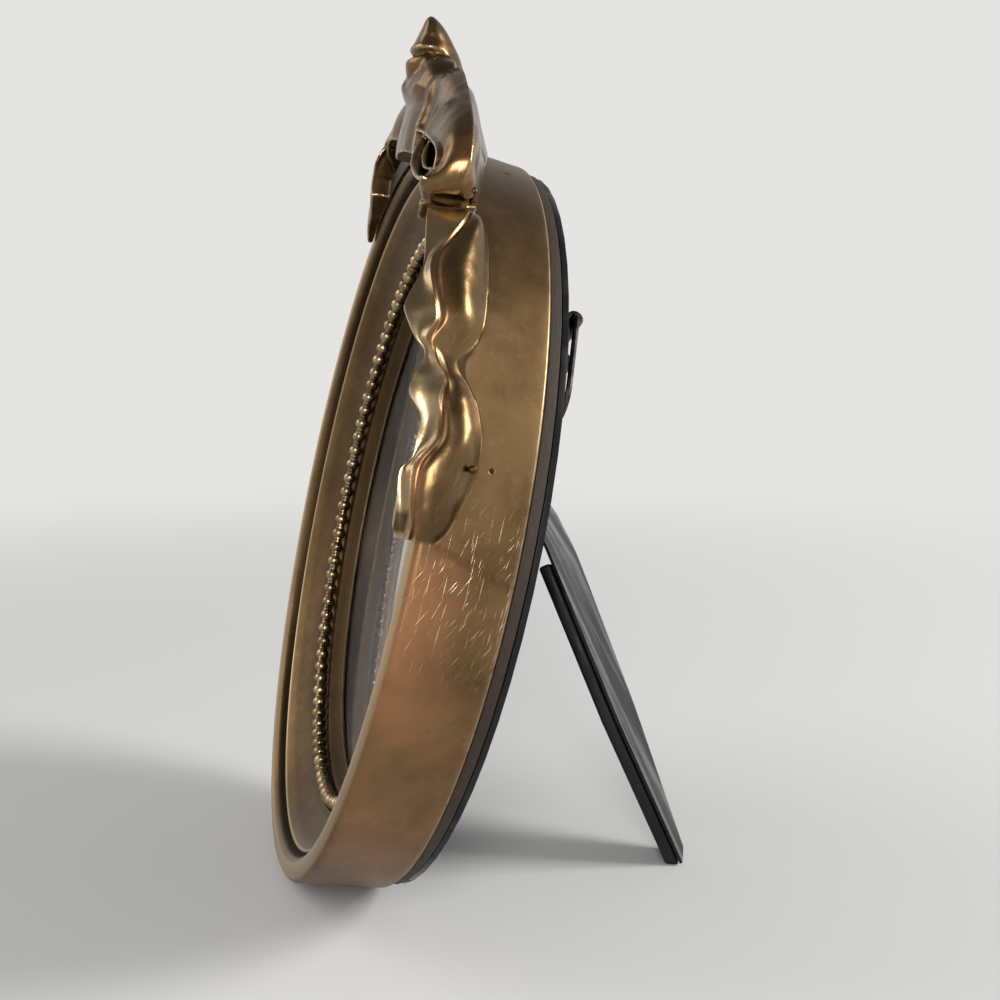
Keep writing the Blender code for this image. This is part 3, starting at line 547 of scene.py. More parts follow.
def gilt_finish(name, colours, on_bow):
    """Aged gilding: olive gold, coppery where rubbed, with painted highlights on the rim, the ridge and the
    tails' facets, grime and painted shade in the hollows and creases, finely scratched.
    """
    shader = Shader(name)
    spot = Spot(shader)
    copper, painted_highlight, scratched = bow_wear_and_highlights(spot) if on_bow else ring_wear_and_highlights(spot)
    colour = shader.mix(spot.cloud.ramp(0.32, 0.68), colours.gold_dark, colours.gold)
    colour = shader.mix(spot.fine.ramp(0.50, 0.80) * 0.14, colour, colours.pale_gold_and_highlight)
    for share in copper:
        colour = shader.mix(share, colour, colours.copper)
    edge = spot.wear_and_crease_shade.ramp(0.62, 0.86) * spot.fine.ramp(0.25, 0.55)
    # Rubbed edges, plus painted highlights on the rim, the ridge and the tails' facets.
    colour = shader.mix((edge * 0.8 + painted_highlight * 0.9).lower(1.0), colour, colours.pale_gold_and_highlight)
    scratch = (scratch_lines(spot) * scratched).lower(1.0)
    colour = shader.mix(scratch, colour, colours.gold_bright)
    relief = spot.cloud * 0.5 + spot.fine * 0.30 - scratch * 0.18
    grime_and_shade = shader.noise(spot.point, 160.0, 5.0, 0.7).ramp(0.60, 0.80) * 0.35
    # Painted shade in the creases, where the bend reading is low.
    crease = spot.wear_and_crease_shade.ramp(0.40, 0.16) * 0.75
    if on_bow:
        base_roughness = 0.23
        grime_and_shade = bow_shade(spot, (grime_and_shade + crease).lower(1.0))
    else:
        base_roughness = 0.36
        pit = spot.wall_mark(14.0, 0.0100, 0.00055, 0.0003)
        grime_and_shade = (ring_stains_and_shade(spot, grime_and_shade, pit) + crease).lower(1.0)
        relief = relief - pit * 2.5
    # Real grime and painted shade, mixed in together.
    colour = shader.mix(grime_and_shade, colour, colours.grime_and_shade)
    rough = spot.cloud.ramp(0.3, 0.7) * 0.08 + base_roughness + grime_and_shade * 0.25 - scratch * 0.10
    normal = shader.bumped(relief, 0.35, 0.00035)
    return shader.finish(base_color=colour, metallic=1.0, roughness=rough, normal=normal)


def bead_finish(colours):
    """Mottled gold beads, with painted shade in the gaps between them and behind their fronts, and a slight
    bump on their crowns.
    """
    shader = Shader("rubbed_bead_gilding")
    point = shader.point()
    radius, angle, depth = polar(shader, point)
    across = radius - BEAD_CIRCLE_RADIUS
    back = depth - BEAD_DEPTH
    settings = frame_settings()
    pitch = 2 * math.pi / settings.bead_count
    turns = angle * (1 / pitch)
    place = turns.maths("WRAP", turns, 0.5, -0.5)
    along_string = place * (pitch * BEAD_CIRCLE_RADIUS)
    out = (along_string * along_string + across * across * 0.6 + back * back * 0.6).root()
    crown = (out / settings.bead_radius).ramp(0.62, 0.98)
    cloud = shader.noise(point, 300.0, 3.0, 0.6)
    front = depth.ramp(BEAD_DEPTH + 0.0011, BEAD_DEPTH - 0.0004)
    colour = shader.mix(cloud.ramp(0.3, 0.7), colours.gold, colours.pale_gold_and_highlight)
    # Painted shade in the gaps between the beads and behind their fronts.
    gap = place.absolute().ramp(0.36, 0.50) * 0.8
    colour = shader.mix(gap.higher(0.8 - front * 0.8), colour, colours.grime_and_shade)
    rough = 0.22 + cloud * 0.12
    normal = shader.bumped(cloud + crown * 0.2, 0.2, 0.0002)
    return shader.finish(base_color=colour, metallic=1.0, roughness=rough, normal=normal)


def leatherette_finish(name, colours, shine):
    """Glossy black leatherette with a fine pebble grain, rubbed a little dull."""
    shader = Shader(name)
    point = shader.point(turned=False)
    cells = shader.node("ShaderNodeTexVoronoi", {"feature": "SMOOTH_F1"}, {"Vector": point, "Scale": 1900.0})
    pebble = Wire(shader, cells.outputs["Distance"])
    cloud = shader.noise(point, 70.0, 4.0, 0.6)
    dull = shader.noise(point, 30.0, 3.0, 0.6, 0.8).ramp(0.45, 0.70)
    dust = shader.noise(point, 900.0, 3.0, 0.7).ramp(0.66, 0.80)
    colour = shader.mix(cloud.ramp(0.3, 0.7), colours.black, colours.black_worn)
    colour = shader.mix(dust * 0.12, colour, colours.dust)
    streak = shader.noise(shader.point(turned=False, scale=(3.0, 0.4, 0.4)), 60.0, 3.0, 0.6, 0.5)
    rough = shine + dull * 0.14 + dust * 0.2 + streak.ramp(0.40, 0.60) * 0.30
    normal = shader.bumped(pebble * 0.5 + cloud * 0.5 + streak * 1.4, 0.22, 0.00014)
    shader.surface.inputs["Specular IOR Level"].default_value = 0.26
    return shader.finish(base_color=colour, metallic=0.0, roughness=rough, normal=normal)


def board_finish(name, first, second, rough):
    """Pressed board: mottled fibre with darker flecks."""
    shader = Shader(name)
    point = shader.point()
    fibre = shader.noise(shader.point(scale=(1.0, 6.0, 1.0)), 420.0, 5.0, 0.7)
    cloud = shader.noise(point, 60.0, 4.0, 0.6)
    fleck = shader.noise(point, 1500.0, 2.0, 0.5).ramp(0.64, 0.76)
    colour = shader.mix(fibre.ramp(0.32, 0.68) * 0.6 + cloud.ramp(0.3, 0.7) * 0.4, first, second)
    colour = shader.mix(fleck * 0.6, colour, tuple(0.4 * value for value in first))
    normal = shader.bumped(fibre + cloud * 0.4, 0.5, 0.0003)
    return shader.finish(base_color=colour, metallic=0.0, roughness=rough + fibre * 0.12, normal=normal)


def picture_finish(colours):
    """A plain mottled grey-brown paper, foxed towards its edge."""
    shader = Shader("mottled_picture_paper")
    point = shader.point()
    radius = polar(shader, point)[0]
    cloud = shader.noise(point, 45.0, 5.0, 0.62, 0.4)
    fine = shader.noise(point, 900.0, 3.0, 0.6)
    edge = radius.ramp(0.030, 0.054)
    colour = shader.mix(cloud.ramp(0.30, 0.70), colours.paper, colours.paper_dark)
    colour = shader.mix(edge * 0.5, colour, colours.paper_edge)
    colour = shader.mix(fine.ramp(0.55, 0.75) * 0.25, colour, colours.paper_dark)
    normal = shader.bumped(fine, 0.3, 0.0001)
    return shader.finish(base_color=colour, metallic=0.0, roughness=0.82 - fine * 0.1, normal=normal)


def glass_finish(colours):
    """Old clear picture glass with a little dust and faint waves."""
    shader = Shader("old_picture_glass")
    point = shader.point()
    waves = shader.noise(point, 28.0, 2.0, 0.5)
    dust = shader.noise(point, 1200.0, 3.0, 0.7).ramp(0.62, 0.82)
    colour = shader.mix(dust * 0.2, colours.glass, colours.glass_dust)
    rough = 0.02 + dust * 0.06
    normal = shader.bumped(waves, 0.08, 0.0008)
    shader.surface.inputs["Transmission Weight"].default_value = 1.0
    shader.surface.inputs["IOR"].default_value = 1.5
    return shader.finish(base_color=colour, metallic=0.0, roughness=rough, normal=normal)


def steel_finish(colours):
    """Blackened steel with worn brown-grey edges."""
    shader = Shader("blackened_steel")
    point = shader.point(turned=False)
    cloud = shader.noise(point, 260.0, 5.0, 0.65)
    fine = shader.noise(point, 1600.0, 3.0, 0.6)
    colour = shader.mix(cloud.ramp(0.45, 0.72), colours.steel, colours.steel_worn)
    rough = 0.34 + cloud * 0.2
    normal = shader.bumped(cloud + fine * 0.4, 0.3, 0.00015)
    return shader.finish(base_color=colour, metallic=1.0, roughness=rough, normal=normal)


# Geometry node trees


class Tree(Nodes):
    """A geometry node tree under construction, with named inputs."""

    def __init__(self, name):
        self.tree = bpy.data.node_groups.new(name, "GeometryNodeTree")
        self.tree.interface.new_socket("Geometry", in_out="INPUT", socket_type="NodeSocketGeometry")
        self.tree.interface.new_socket("Geometry", in_out="OUTPUT", socket_type="NodeSocketGeometry")
        self.inputs = {}
        self.start = self.tree.nodes.new("NodeGroupInput")
        self.end = self.tree.nodes.new("NodeGroupOutput")

    def take(self, name, kind, value):
        """A named input of the tree, with the value that the modifier gives it."""
        socket = self.tree.interface.new_socket(name, in_out="INPUT", socket_type=kind)
        self.inputs[socket.identifier] = value
        return self.start.outputs[name]

    def circle(self, steps, radius):
        """A circle in the XY plane, as a curve."""
        values = {"Resolution": steps, "Radius": radius}
        return self.node("GeometryNodeCurvePrimitiveCircle", {"mode": "RADIUS"}, values).outputs[0]

    def sweep(self, path, section):
        """The surface that the section makes along the path."""
        return self.node("GeometryNodeCurveToMesh", values={0: path, 1: section}).outputs[0]

    def stand_up(self, geometry, depth=0.0):
        """Turns geometry from the XY plane into the frame's own plane, at this depth."""
        values = {0: geometry, "Rotation": (math.pi / 2, 0, 0), "Translation": (0.0, depth, 0.0)}
        return self.node("GeometryNodeTransform", values=values).outputs[0]

    def close(self, geometry, finish):
        """Ends the tree in real geometry with its material."""
        real = self.node("GeometryNodeRealizeInstances", values={0: geometry})
        values = {"Geometry": real.outputs[0], "Material": finish}
        painted = self.node("GeometryNodeSetMaterial", values=values)
        self.feed(self.end.inputs[0], painted.outputs[0])

    def run(self, name, start):
        """Runs the tree on a mesh and returns the result as a plain mesh."""
        def add_tree(modifiers):
            modifier = modifiers.new("shape", "NODES")
            modifier.node_group = self.tree
            for identifier, value in self.inputs.items():
                modifier[identifier] = value

        return modified(name, start, add_tree)


# Moulded ring


def moulding_profile():
    """The ring's section as (radius, depth), finer than the solid's, from the wall over the front."""
    wall_foot = RING_DEPTH - BACK_EDGE
    points = [(RING_BACK_RADIUS - BACK_EDGE, RING_DEPTH), (RING_BACK_RADIUS, wall_foot)]
    points.append((wall_radius(RING_DEPTH - 0.0005), RING_DEPTH - 0.0005))
    for step in range(1, 7):
        depth = wall_foot + (RIM_RISE - wall_foot) * step / 7
        points.append((wall_radius(depth) - 0.00002 * math.sin(step * 2.3), depth))
    for step in range(25):
        turn = math.pi * step / 24
        radius = RING_RADIUS - RIM_HALF_WIDTH + RIM_HALF_WIDTH * math.cos(turn)
        points.append((radius, RIM_RISE - RIM_RISE * math.sin(turn) ** 0.92))
    groove = RING_RADIUS - 2 * RIM_HALF_WIDTH
    for share, drop in GROOVE_SECTION:
        points.append((groove - GROOVE_WIDTH * share, RIM_RISE + GROOVE_DEPTH * drop))
    ridge = groove - GROOVE_WIDTH
    for step in range(1, 7):
        share = step / 7
        drop = 0.00040 + 0.00005 * share - 0.00012 * math.sin(math.pi * share)
        points.append((ridge - RIDGE_WIDTH * share, RIM_RISE + drop))
    start = (ridge - RIDGE_WIDTH, RIM_RISE + 0.0005)
    for step in range(17):
        share = step / 16
        radius = start[0] + (COVE_FOOT[0] - start[0]) * share
        depth = start[1] + (COVE_FOOT[1] - start[1]) * share
        points.append((radius, depth + 4 * COVE_SAG * share * (1 - share)))
    for step in range(9):
        turn = math.radians(-8.0 + 104.0 * step / 8)
        radius = BEAD_CIRCLE_RADIUS + BEAD_SEAT_RADIUS * math.cos(turn)
        points.append((radius, BEAD_DEPTH + BEAD_SEAT_RADIUS * math.sin(turn)))
    for share in (0.0, 0.06, 0.12, 0.3, 0.5, 0.7, 0.88, 0.96, 1.0):
        radius, depth = (a + (b - a) * share for a, b in zip(SIGHT_SLOPE_TOP, SIGHT_SLOPE_FOOT))
        points.append((radius, depth + 0.0002 * math.sin(math.pi * share)))
    points += [(SIGHT_RADIUS, SIGHT_DEPTH), (REBATE_RADIUS, SIGHT_DEPTH), (REBATE_RADIUS, RING_DEPTH)]
    inner, outer = CHANNEL_RADII
    points += [(inner, RING_DEPTH), (inner, CHANNEL_FLOOR), (outer, CHANNEL_FLOOR), (outer, RING_DEPTH)]
    return points


def moulded_ring(settings, finish):
    """Turns the section about the ring's axis with a node tree."""
    section = moulding_profile()
    hub = 0.0001
    profile = bpy.data.meshes.new("moulding_section")
    edges = [(index, (index + 1) % len(section)) for index in range(len(section))]
    profile.from_pydata([(radius - hub, depth, 0.0) for radius, depth in section], edges, [])
    tree = Tree("turned_moulding")
    steps = tree.take("Steps round", "NodeSocketInt", settings.ring_steps)
    reach = tree.take("Hub radius", "NodeSocketFloat", hub)
    line = tree.node("GeometryNodeMeshToCurve", values={0: tree.start.outputs[0]}).outputs[0]
    tree.close(tree.stand_up(tree.sweep(tree.circle(steps, reach), line)), finish)
    return tree.run("moulded_ring", profile)


def face_out(mesh):
    """Merges doubles and turns every face outwards."""
    work = bmesh.new()
    work.from_mesh(mesh)
    bmesh.ops.remove_doubles(work, verts=work.verts, dist=1e-7)
    bmesh.ops.recalc_face_normals(work, faces=work.faces)
    work.to_mesh(mesh)
    work.free()


def mark_wear_and_crease_shade(mesh, reach=0.0007, rounds=2):
    """Gives each point a reading of 0.5 on flats, towards one on outer edges and towards zero in creases."""
    count = len(mesh.vertices)
    places = np.empty(count * 3)
    normals = np.empty(count * 3)
    pairs = np.empty(len(mesh.edges) * 2, dtype=np.int64)
    mesh.vertices.foreach_get("co", places)
    mesh.vertex_normals.foreach_get("vector", normals)
    mesh.edges.foreach_get("vertices", pairs)
    places, normals, pairs = places.reshape(-1, 3), normals.reshape(-1, 3), pairs.reshape(-1, 2)
    one, two = pairs[:, 0], pairs[:, 1]
    step = places[one] - places[two]
    square = np.maximum((step * step).sum(1), 1e-10)
    bend = ((normals[one] - normals[two]) * step).sum(1) / square
    degree = np.maximum(np.bincount(pairs.ravel(), minlength=count), 1)
    wear_and_crease_shade = (np.bincount(one, bend, count) + np.bincount(two, bend, count)) / degree
    for _round in range(rounds):
        near = (np.bincount(one, wear_and_crease_shade[two], count) + np.bincount(two, wear_and_crease_shade[one], count)) / degree
        wear_and_crease_shade = 0.5 * wear_and_crease_shade + 0.5 * near
    reading = mesh.attributes.new("wear_and_crease_shade", "FLOAT", "POINT")
    reading.data.foreach_set("value", 0.5 + 0.5 * np.tanh(wear_and_crease_shade * reach))


def mark_tail(mesh, stations):
    """Marks a tail's turned front facet, and the strip on the other side of its ridge."""
    count = len(mesh.vertices) // stations
    past_ridge = np.arange(len(mesh.vertices)) % count - RIDGE_COLUMN
    readings = {
        "facet": np.clip(0.5 - past_ridge, 0.0, 1.0),
        "strip": np.clip(past_ridge, 0.0, 1.0) * np.exp(-((past_ridge - STRIP_MIDDLE) / STRIP_SPREAD) ** 2),
    }
    for name, values in readings.items():
        mesh.attributes.new(name, "FLOAT", "POINT").data.foreach_set("value", values)


def grind_base(mesh, lowest=0.0):
    """Brings what lies under the table up to it."""
    for vertex in mesh.vertices:
        vertex.co.z = max(vertex.co.z, lowest)


# Beads


BEAD_SQUASH = 0.97
BEAD_SMALLEST = (0.92, 0.93, 0.93)
BEAD_LARGEST = (1.0, 1.01, 1.01)
BEAD_SEED = 4
# The thread's radius as a share of a bead's.
THREAD_SHARE = 0.62


def bead_shape(radius):
    """One bead: a ball, a little squashed."""
    work = bmesh.new()
    bmesh.ops.create_uvsphere(work, u_segments=14, v_segments=9, radius=radius)
    for vert in work.verts:
        vert.co.x *= BEAD_SQUASH
    return mesh_of(work, "bead_shape")


def bead_string(settings, finish):
    """Beads set round a circle by a node tree, a little unlike each other, on a thin core."""
    tree = Tree("bead_string")
    count = tree.take("Beads", "NodeSocketInt", settings.bead_count)
    radius = tree.take("Circle radius", "NodeSocketFloat", BEAD_CIRCLE_RADIUS)
    core = tree.take("Core radius", "NodeSocketFloat", settings.bead_radius * THREAD_SHARE)
    seed = tree.take("Seed", "NodeSocketInt", BEAD_SEED)
    circle = tree.node("GeometryNodeMeshCircle", {"fill_type": "NONE"}, {"Vertices": count, "Radius": radius})
    place = tree.node("GeometryNodeInputPosition").outputs[0]
    turn = tree.node("FunctionNodeAlignRotationToVector", {"axis": "Y"}, {"Vector": place})
    size = tree.node(
        "FunctionNodeRandomValue", {"data_type": "FLOAT_VECTOR"},
        {"Min": BEAD_SMALLEST, "Max": BEAD_LARGEST, "Seed": seed},
    )
    beads = tree.node(
        "GeometryNodeInstanceOnPoints", values={
            "Points": circle.outputs[0], "Instance": tree.start.outputs[0],
            "Rotation": turn.outputs[0], "Scale": size.outputs[0],
        },
    )
    both = tree.node("GeometryNodeJoinGeometry")
    for part in (beads.outputs[0], tree.sweep(tree.circle(216, radius), tree.circle(8, core))):
        tree.feed(both.inputs[0], part)
    tree.close(tree.stand_up(both.outputs[0], BEAD_DEPTH), finish)
    return tree.run("bead_string", bead_shape(settings.bead_radius))


# Ribbon bow


BOW_CONTOURS = 170
# The bow's folds, as angles along the rim.
RIDGE_BY_KNOT = 79.5
RIDGE_OVER_EYE = 66.5
# The near loop's eye, by angle along the rim: the heights of its lower and upper border.
NEAR_EYE = (
    (54.2, 0.0040, 0.0058),
    (56.0, 0.0022, 0.0062),
    (60.0, 0.0000, 0.0051),
    (64.0, -0.0014, 0.0037),
    (69.0, -0.0026, 0.0025),
    (75.0, -0.0030, 0.0010),
)
# The far loop's eye, in the same way.
FAR_EYE = (
    (97.0, -0.0040, 0.0012),
    (102.0, -0.0040, 0.0022),
    (108.0, -0.0040, 0.0052),
    (111.0, -0.0040, 0.0068),
    (114.5, -0.0040, 0.0082),
)
# How far the loops stand in front of the rim, by angle.
LOOP_FRONT = (
    (51.0, 0.0050),
    (54.0, 0.0042),
    (60.0, 0.0043),
    (68.0, 0.0044),
    (76.0, 0.0042),
    (84.0, 0.0037),
    (90.0, 0.0036),
    (97.0, 0.0033),
    (103.0, 0.0041),
    (109.0, 0.0040),
    (114.5, 0.0046),
    (117.0, 0.0042),
    (121.0, 0.0032),
    (126.0, 0.0024),
    (129.0, 0.0014),
)


def eye_share(table, angle, height):
    """One inside a loop's eye, zero outside it, with a short slope between."""
    slope = 0.00045
    low, high = flow(table, angle)
    ends = min(angle - table[0][0], table[-1][0] - angle) * RIM_PER_DEGREE
    inside = min(high - height, height - low, ends)
    return smooth_step(-slope * 0.4, slope * 0.6, inside)


def bow_detail(angle, contour, height):
    """How far the skin stands off its plain form, in metres: folds, ridges and creases."""
    off = abs(angle - BOW_MIDDLE)
    detail = 0.0
    if angle < BOW_MIDDLE and contour < 88.0:
        share = (RIDGE_BY_KNOT - angle) / (RIDGE_BY_KNOT - RIDGE_OVER_EYE)
        up = smooth_step(0.0112, 0.0085, height) * smooth_step(0.0008, 0.0026, height)
        if 0.0 < share < 1.0:
            detail -= 0.0015 * math.sin(math.pi * share**0.7) ** 0.7 * up
        over = smooth_step(0.0004, 0.0020, height) * smooth_step(80.0, 66.0, contour)
        detail += 0.00055 * bump(angle, RIDGE_BY_KNOT + 0.4, 1.3) * over
        detail += 0.00050 * bump(angle, RIDGE_OVER_EYE, 1.7) * up
    detail += 0.00055 * bump(contour, 92.0, 7.0) * smooth_step(5.0, 11.0, off)
    detail -= 0.00050 * bump(contour, 110.0, 11.0) * smooth_step(5.0, 11.0, off)
    waves = math.cos(off * 0.5 + contour * 0.03) * bump(contour, 130.0, 24.0)
    detail += 0.00035 * waves * smooth_step(8.0, 14.0, off)
    if angle > BOW_MIDDLE and contour < 85.0:
        between = smooth_step(0.0005, 0.0030, height) * smooth_step(0.0130, 0.0100, height)
        detail -= 0.0012 * bump(angle, 96.5, 3.4) * between
    # The knot: a hollow leaf in front, waisted below and creased beside its edges.
    leaf = math.hypot((angle - 87.5) / 4.2, (height - 0.0104) / 0.0034)
    if contour < 85.0:
        detail -= 0.0008 * smooth_step(0.95, 0.55, leaf)
        detail -= 0.0026 * smooth_step(0.0090, 0.0062, height) * bump(off, 0.0, KNOT_SPREAD)
        detail -= 0.0007 * bump(off, 11.5, 2.2) * smooth_step(0.001, 0.004, height)
    return detail


def bow_skin(angle, contour):
    """A point of the bow, by its angle along the rim and its turn from the front over the top."""
    off = abs(angle - BOW_MIDDLE)
    near = angle < BOW_MIDDLE
    reach = min(off / BOW_REACH, 1.0)
    crease = CREASE_DEPTH * bump(off, CREASE_OFF, CREASE_SPREAD)
    knot = bump(off, 0.0, KNOT_SPREAD)
    end_height, fullness = NEAR_LOOP if near else FAR_LOOP
    height = end_height + (BOW_HEIGHT - end_height) * math.sqrt(1.0 - reach**fullness)
    sag = SAG_DEPTH * bump(off, SAG_OFF, LOOP_SPREAD) if near else 0.0
    height += KNOT_RISE * knot - crease - sag
    turn = math.radians(contour)
    radial = height * math.sin(turn) if contour > 0 else BOW_DROP * contour / -BOW_LOWEST_CONTOUR
    scroll = bump(radial, SCROLL_HEIGHT, SCROLL_HEIGHT_SPREAD) if near else 0.0
    scroll *= SCROLL_FRONT * bump(off, BOW_REACH, SCROLL_SPREAD)
    front = flow(LOOP_FRONT, angle)[0] + KNOT_FRONT * knot + scroll - crease / 2
    back = BOW_BACK + (BOW_END_BACK - BOW_BACK) * reach
    if contour < 90:
        sweep = 0.6 + (0.55 * bump(off, FULL_OFF, LOOP_SPREAD) if near else 0.0)
        depth = BOW_TOP_DEPTH - (front + BOW_TOP_DEPTH) * math.cos(turn) ** sweep
    else:
        depth = BOW_TOP_DEPTH + (back - BOW_TOP_DEPTH) * (1 - math.sin(turn)) ** 0.85
    detail = bow_detail(angle, contour, radial) * smooth_step(178.0, 160.0, contour)
    detail += 0.00010 * grain((angle * GRAIN_PER_DEGREE, contour * 0.00012, 0.0), 0.0026, 3.0)
    if contour > 0:
        radial += detail * math.sin(turn)
    depth -= detail * math.cos(turn)
    if contour < 80.0:
        floor = EYE_FLOOR if radial > 0.0009 else EYE_FLOOR_BY_RIM
        depth += max(floor - depth, 0.0) * eye_share(NEAR_EYE if near else FAR_EYE, angle, radial)
    if contour > 120:
        for place, row in BACK_DENTS:
            radial -= DENT_DEPTH * bump(off, place, 0.9) * bump(contour, row, 4.0)
    if near:
        under = smooth_step(0.0027, 0.0021, radial)
        under *= smooth_step(BOW_FIRST_ANGLE + 2.4, BOW_FIRST_ANGLE, angle)
        angle += 1.2 * under * smooth_step(-0.0052, -0.0040, depth)
    return on_ring(RING_RADIUS + radial, depth, angle), (RING_RADIUS + radial, depth)


def rim_foot(back, degrees, steps):
    """How a casting meets the ring: over the wall from its back edge and round the rim, a seat gap clear."""
    foot = [(wall_radius(back) + SEAT_GAP, back), (RING_RADIUS + SEAT_GAP, RIM_RISE)]
    for step in range(1, steps + 1):
        turn = math.radians(degrees * step / steps)
        radius = RING_RADIUS - RIM_HALF_WIDTH + (RIM_HALF_WIDTH + SEAT_GAP) * math.cos(turn)
        foot.append((radius, RIM_RISE - (RIM_RISE + SEAT_GAP) * math.sin(turn)))
    return foot


def bow_body(stations, contours):
    """The bow's mesh, with its ends rounded in and its foot following the rim."""
    loops = []
    first, last = BOW_FIRST_ANGLE, 180.0 - BOW_FIRST_ANGLE
    for station in range(stations):
        angle = first + (last - first) * station / (stations - 1)
        end = min(angle - first, last - angle)
        shrink = math.sqrt(1.0 - (0.78 * max(1.0 - end / 1.9, 0.0)) ** 2)
        loop = []
        back = max(bow_skin(angle, 180.0)[1][1], 0.0035)
        middle = on_ring(RING_RADIUS + 0.0022, (back - 0.005) / 2, angle)
        for step in range(contours):
            share = step / (contours - 1)
            contour = BOW_LOWEST_CONTOUR + (180.0 - BOW_LOWEST_CONTOUR) * share
            point, (radius, depth) = bow_skin(angle, contour)
            if radius > RING_RADIUS:
                point = middle + (point - middle) * shrink
            loop.append(point)
        loop[-1] = on_ring(wall_radius(back) + 2 * SEAT_GAP, back, angle)
        loops.append(loop + [on_ring(radius, depth, angle) for radius, depth in rim_foot(back, 110.0, 6)])
    return loft_mesh("bow_body", loops)


def strip(name, places, thickness, reach, sides=10):
    """A ribbon edge along places (angle, height, depth): a flat oval section, longer along the depth."""
    path = []
    spans = 10
    for index in range(len(places) - 1):
        quad = [places[max(min(index + shift, len(places) - 1), 0)] for shift in (-1, 0, 1, 2)]
        for step in range(spans):
            share = step / spans
            row = []
            for a, b, c, d in zip(*quad):
                square = (2 * a - 5 * b + 4 * c - d) * share**2
                cube = (3 * b - a - 3 * c + d) * share**3
                row.append(0.5 * (2 * b + (c - a) * share + square + cube))
            path.append(row)
    path.append(list(places[-1]))
    points = [on_ring(RING_RADIUS + height, depth, angle) for angle, height, depth in path]
    loops = []
    for index, point in enumerate(points):
        run = (points[min(index + 1, len(points) - 1)] - points[max(index - 1, 0)]).normalized()
        inward = Vector((0.0, 1.0, 0.0))
        across = run.cross(inward).normalized()
        inward = across.cross(run).normalized()
        taper = 0.55 + 0.45 * math.sin(math.pi * index / (len(points) - 1)) ** 0.5
        loop = []
        for side in range(sides):
            turn = 2 * math.pi * side / sides
            wide = thickness * taper * math.sin(turn)
            deep = (reach if math.cos(turn) > 0 else thickness) * taper * math.cos(turn)
            loop.append(point + across * wide + inward * deep)
        loops.append(loop)
    return loft_mesh(name, loops)


def loop_edges():
    """The bright ribbon edges round the eyes of both loops, and the curls inside the near one."""
    near_lip = [
        (76.0, 0.0010, -0.0046), (70.0, 0.0024, -0.0045), (65.0, 0.0036, -0.0043), (60.0, 0.0052, -0.0042),
        (57.0, 0.0062, -0.0041), (55.0, 0.0063, -0.0040), (53.8, 0.0053, -0.0041), (53.0, 0.0037, -0.0043),
        (52.2, 0.0026, -0.0048), (51.4, 0.0020, -0.0054),
    ]
    outer_curl = [
        (66.5, 0.0027, -0.0046), (64.0, 0.0014, -0.0056), (61.0, 0.0004, -0.0062), (57.5, 0.0006, -0.0061),
        (54.5, 0.0018, -0.0058), (52.0, 0.0040, -0.0058),
    ]
    inner_curl = [
        (63.5, 0.0034, -0.0040), (61.5, 0.0023, -0.0047), (59.0, 0.0018, -0.0049), (56.5, 0.0024, -0.0047),
        (54.0, 0.0044, -0.0042),
    ]
    far_lip = [
        (97.0, 0.0012, -0.0016), (103.0, 0.0028, -0.0024), (108.0, 0.0052, -0.0034),
        (110.5, 0.0042, -0.0030), (112.0, 0.0028, -0.0014), (114.0, 0.0022, 0.0002),
        (115.0, 0.0006, 0.0002), (115.3, -0.0016, -0.0008), (115.3, -0.0018, -0.0022),
        (115.0, 0.0002, -0.0040), (114.8, 0.0030, -0.0044), (114.5, 0.0062, -0.0038),
        (113.5, 0.0080, -0.0026),
    ]
    return [
        strip("near_lip", near_lip, 0.00034, 0.0012),
        strip("outer_curl", outer_curl, 0.00042, 0.0040),
        strip("inner_curl", inner_curl, 0.00034, 0.0034),
        strip("far_lip", far_lip, 0.00034, 0.0008),
    ]


# The tuft's outline: height over the rim, middle depth, half depth and half width.
TUFT_OUTLINE = (
    (0.0085, 0.0002, 0.0052, 0.0046),
    (0.0125, -0.0007, 0.0056, 0.0052),
    (0.0146, -0.0012, 0.0051, 0.0050),
    (0.0160, -0.0015, 0.0045, 0.0045),
    (0.0177, -0.0019, 0.0036, 0.0038),
    (0.0200, -0.0025, 0.0023, 0.0026),
    (0.0214, -0.0031, 0.0013, 0.0016),
    (0.0221, -0.0034, 0.0005, 0.0006),
)


def tuft():
    """The pointed fold over the knot: a three-sided cone that flows into the bow's back."""
    loops = []
    steps, sides = 60, 64
    foot, tip = TUFT_OUTLINE[0][0], TUFT_OUTLINE[-1][0]
    for step in range(steps + 1):
        height = foot + (tip - foot) * (step / steps)
        middle, deep, wide = flow(TUFT_OUTLINE, height)
        loop = []
        for side in range(sides):
            turn = 2 * math.pi * side / sides
            front = smooth_step(0.55, -0.35, math.sin(turn))
            facet = 1.0 + 0.075 * math.cos(3 * (turn + 0.45)) * smooth_step(0.0130, 0.0165, height)
            facet -= 0.20 * front * bump(height, 0.0147 + 0.0005 * math.cos(2 * turn), 0.00062)
            facet += 0.05 * front * bump(height, 0.0158, 0.0006)
            facet -= 0.07 * bump(height, 0.0178, 0.0008) * max(0.0, math.cos(turn + 0.3)) ** 8
            loop.append((
                wide * facet * math.cos(turn), middle + deep * facet * math.sin(turn), RING_RADIUS + height,
            ))
        loops.append(loop)
    return loft_mesh("tuft", loops)


def joined(name, meshes):
    """One mesh from several."""
    work = bmesh.new()
    for mesh in meshes:
        work.from_mesh(mesh)
    return mesh_of(work, name)


def fused(name, mesh, cell, smoothing=2):
    """The mesh remade as one skin of small cells and lightly smoothed, as in a casting."""
    def add_skin(modifiers):
        remesh = modifiers.new("one_skin", "REMESH")
        remesh.mode = "VOXEL"
        remesh.voxel_size = cell
        remesh.adaptivity = 0.0
        soft = modifiers.new("soft", "SMOOTH")
        soft.factor = 0.5
        soft.iterations = smoothing

    return modified(name, mesh, add_skin)


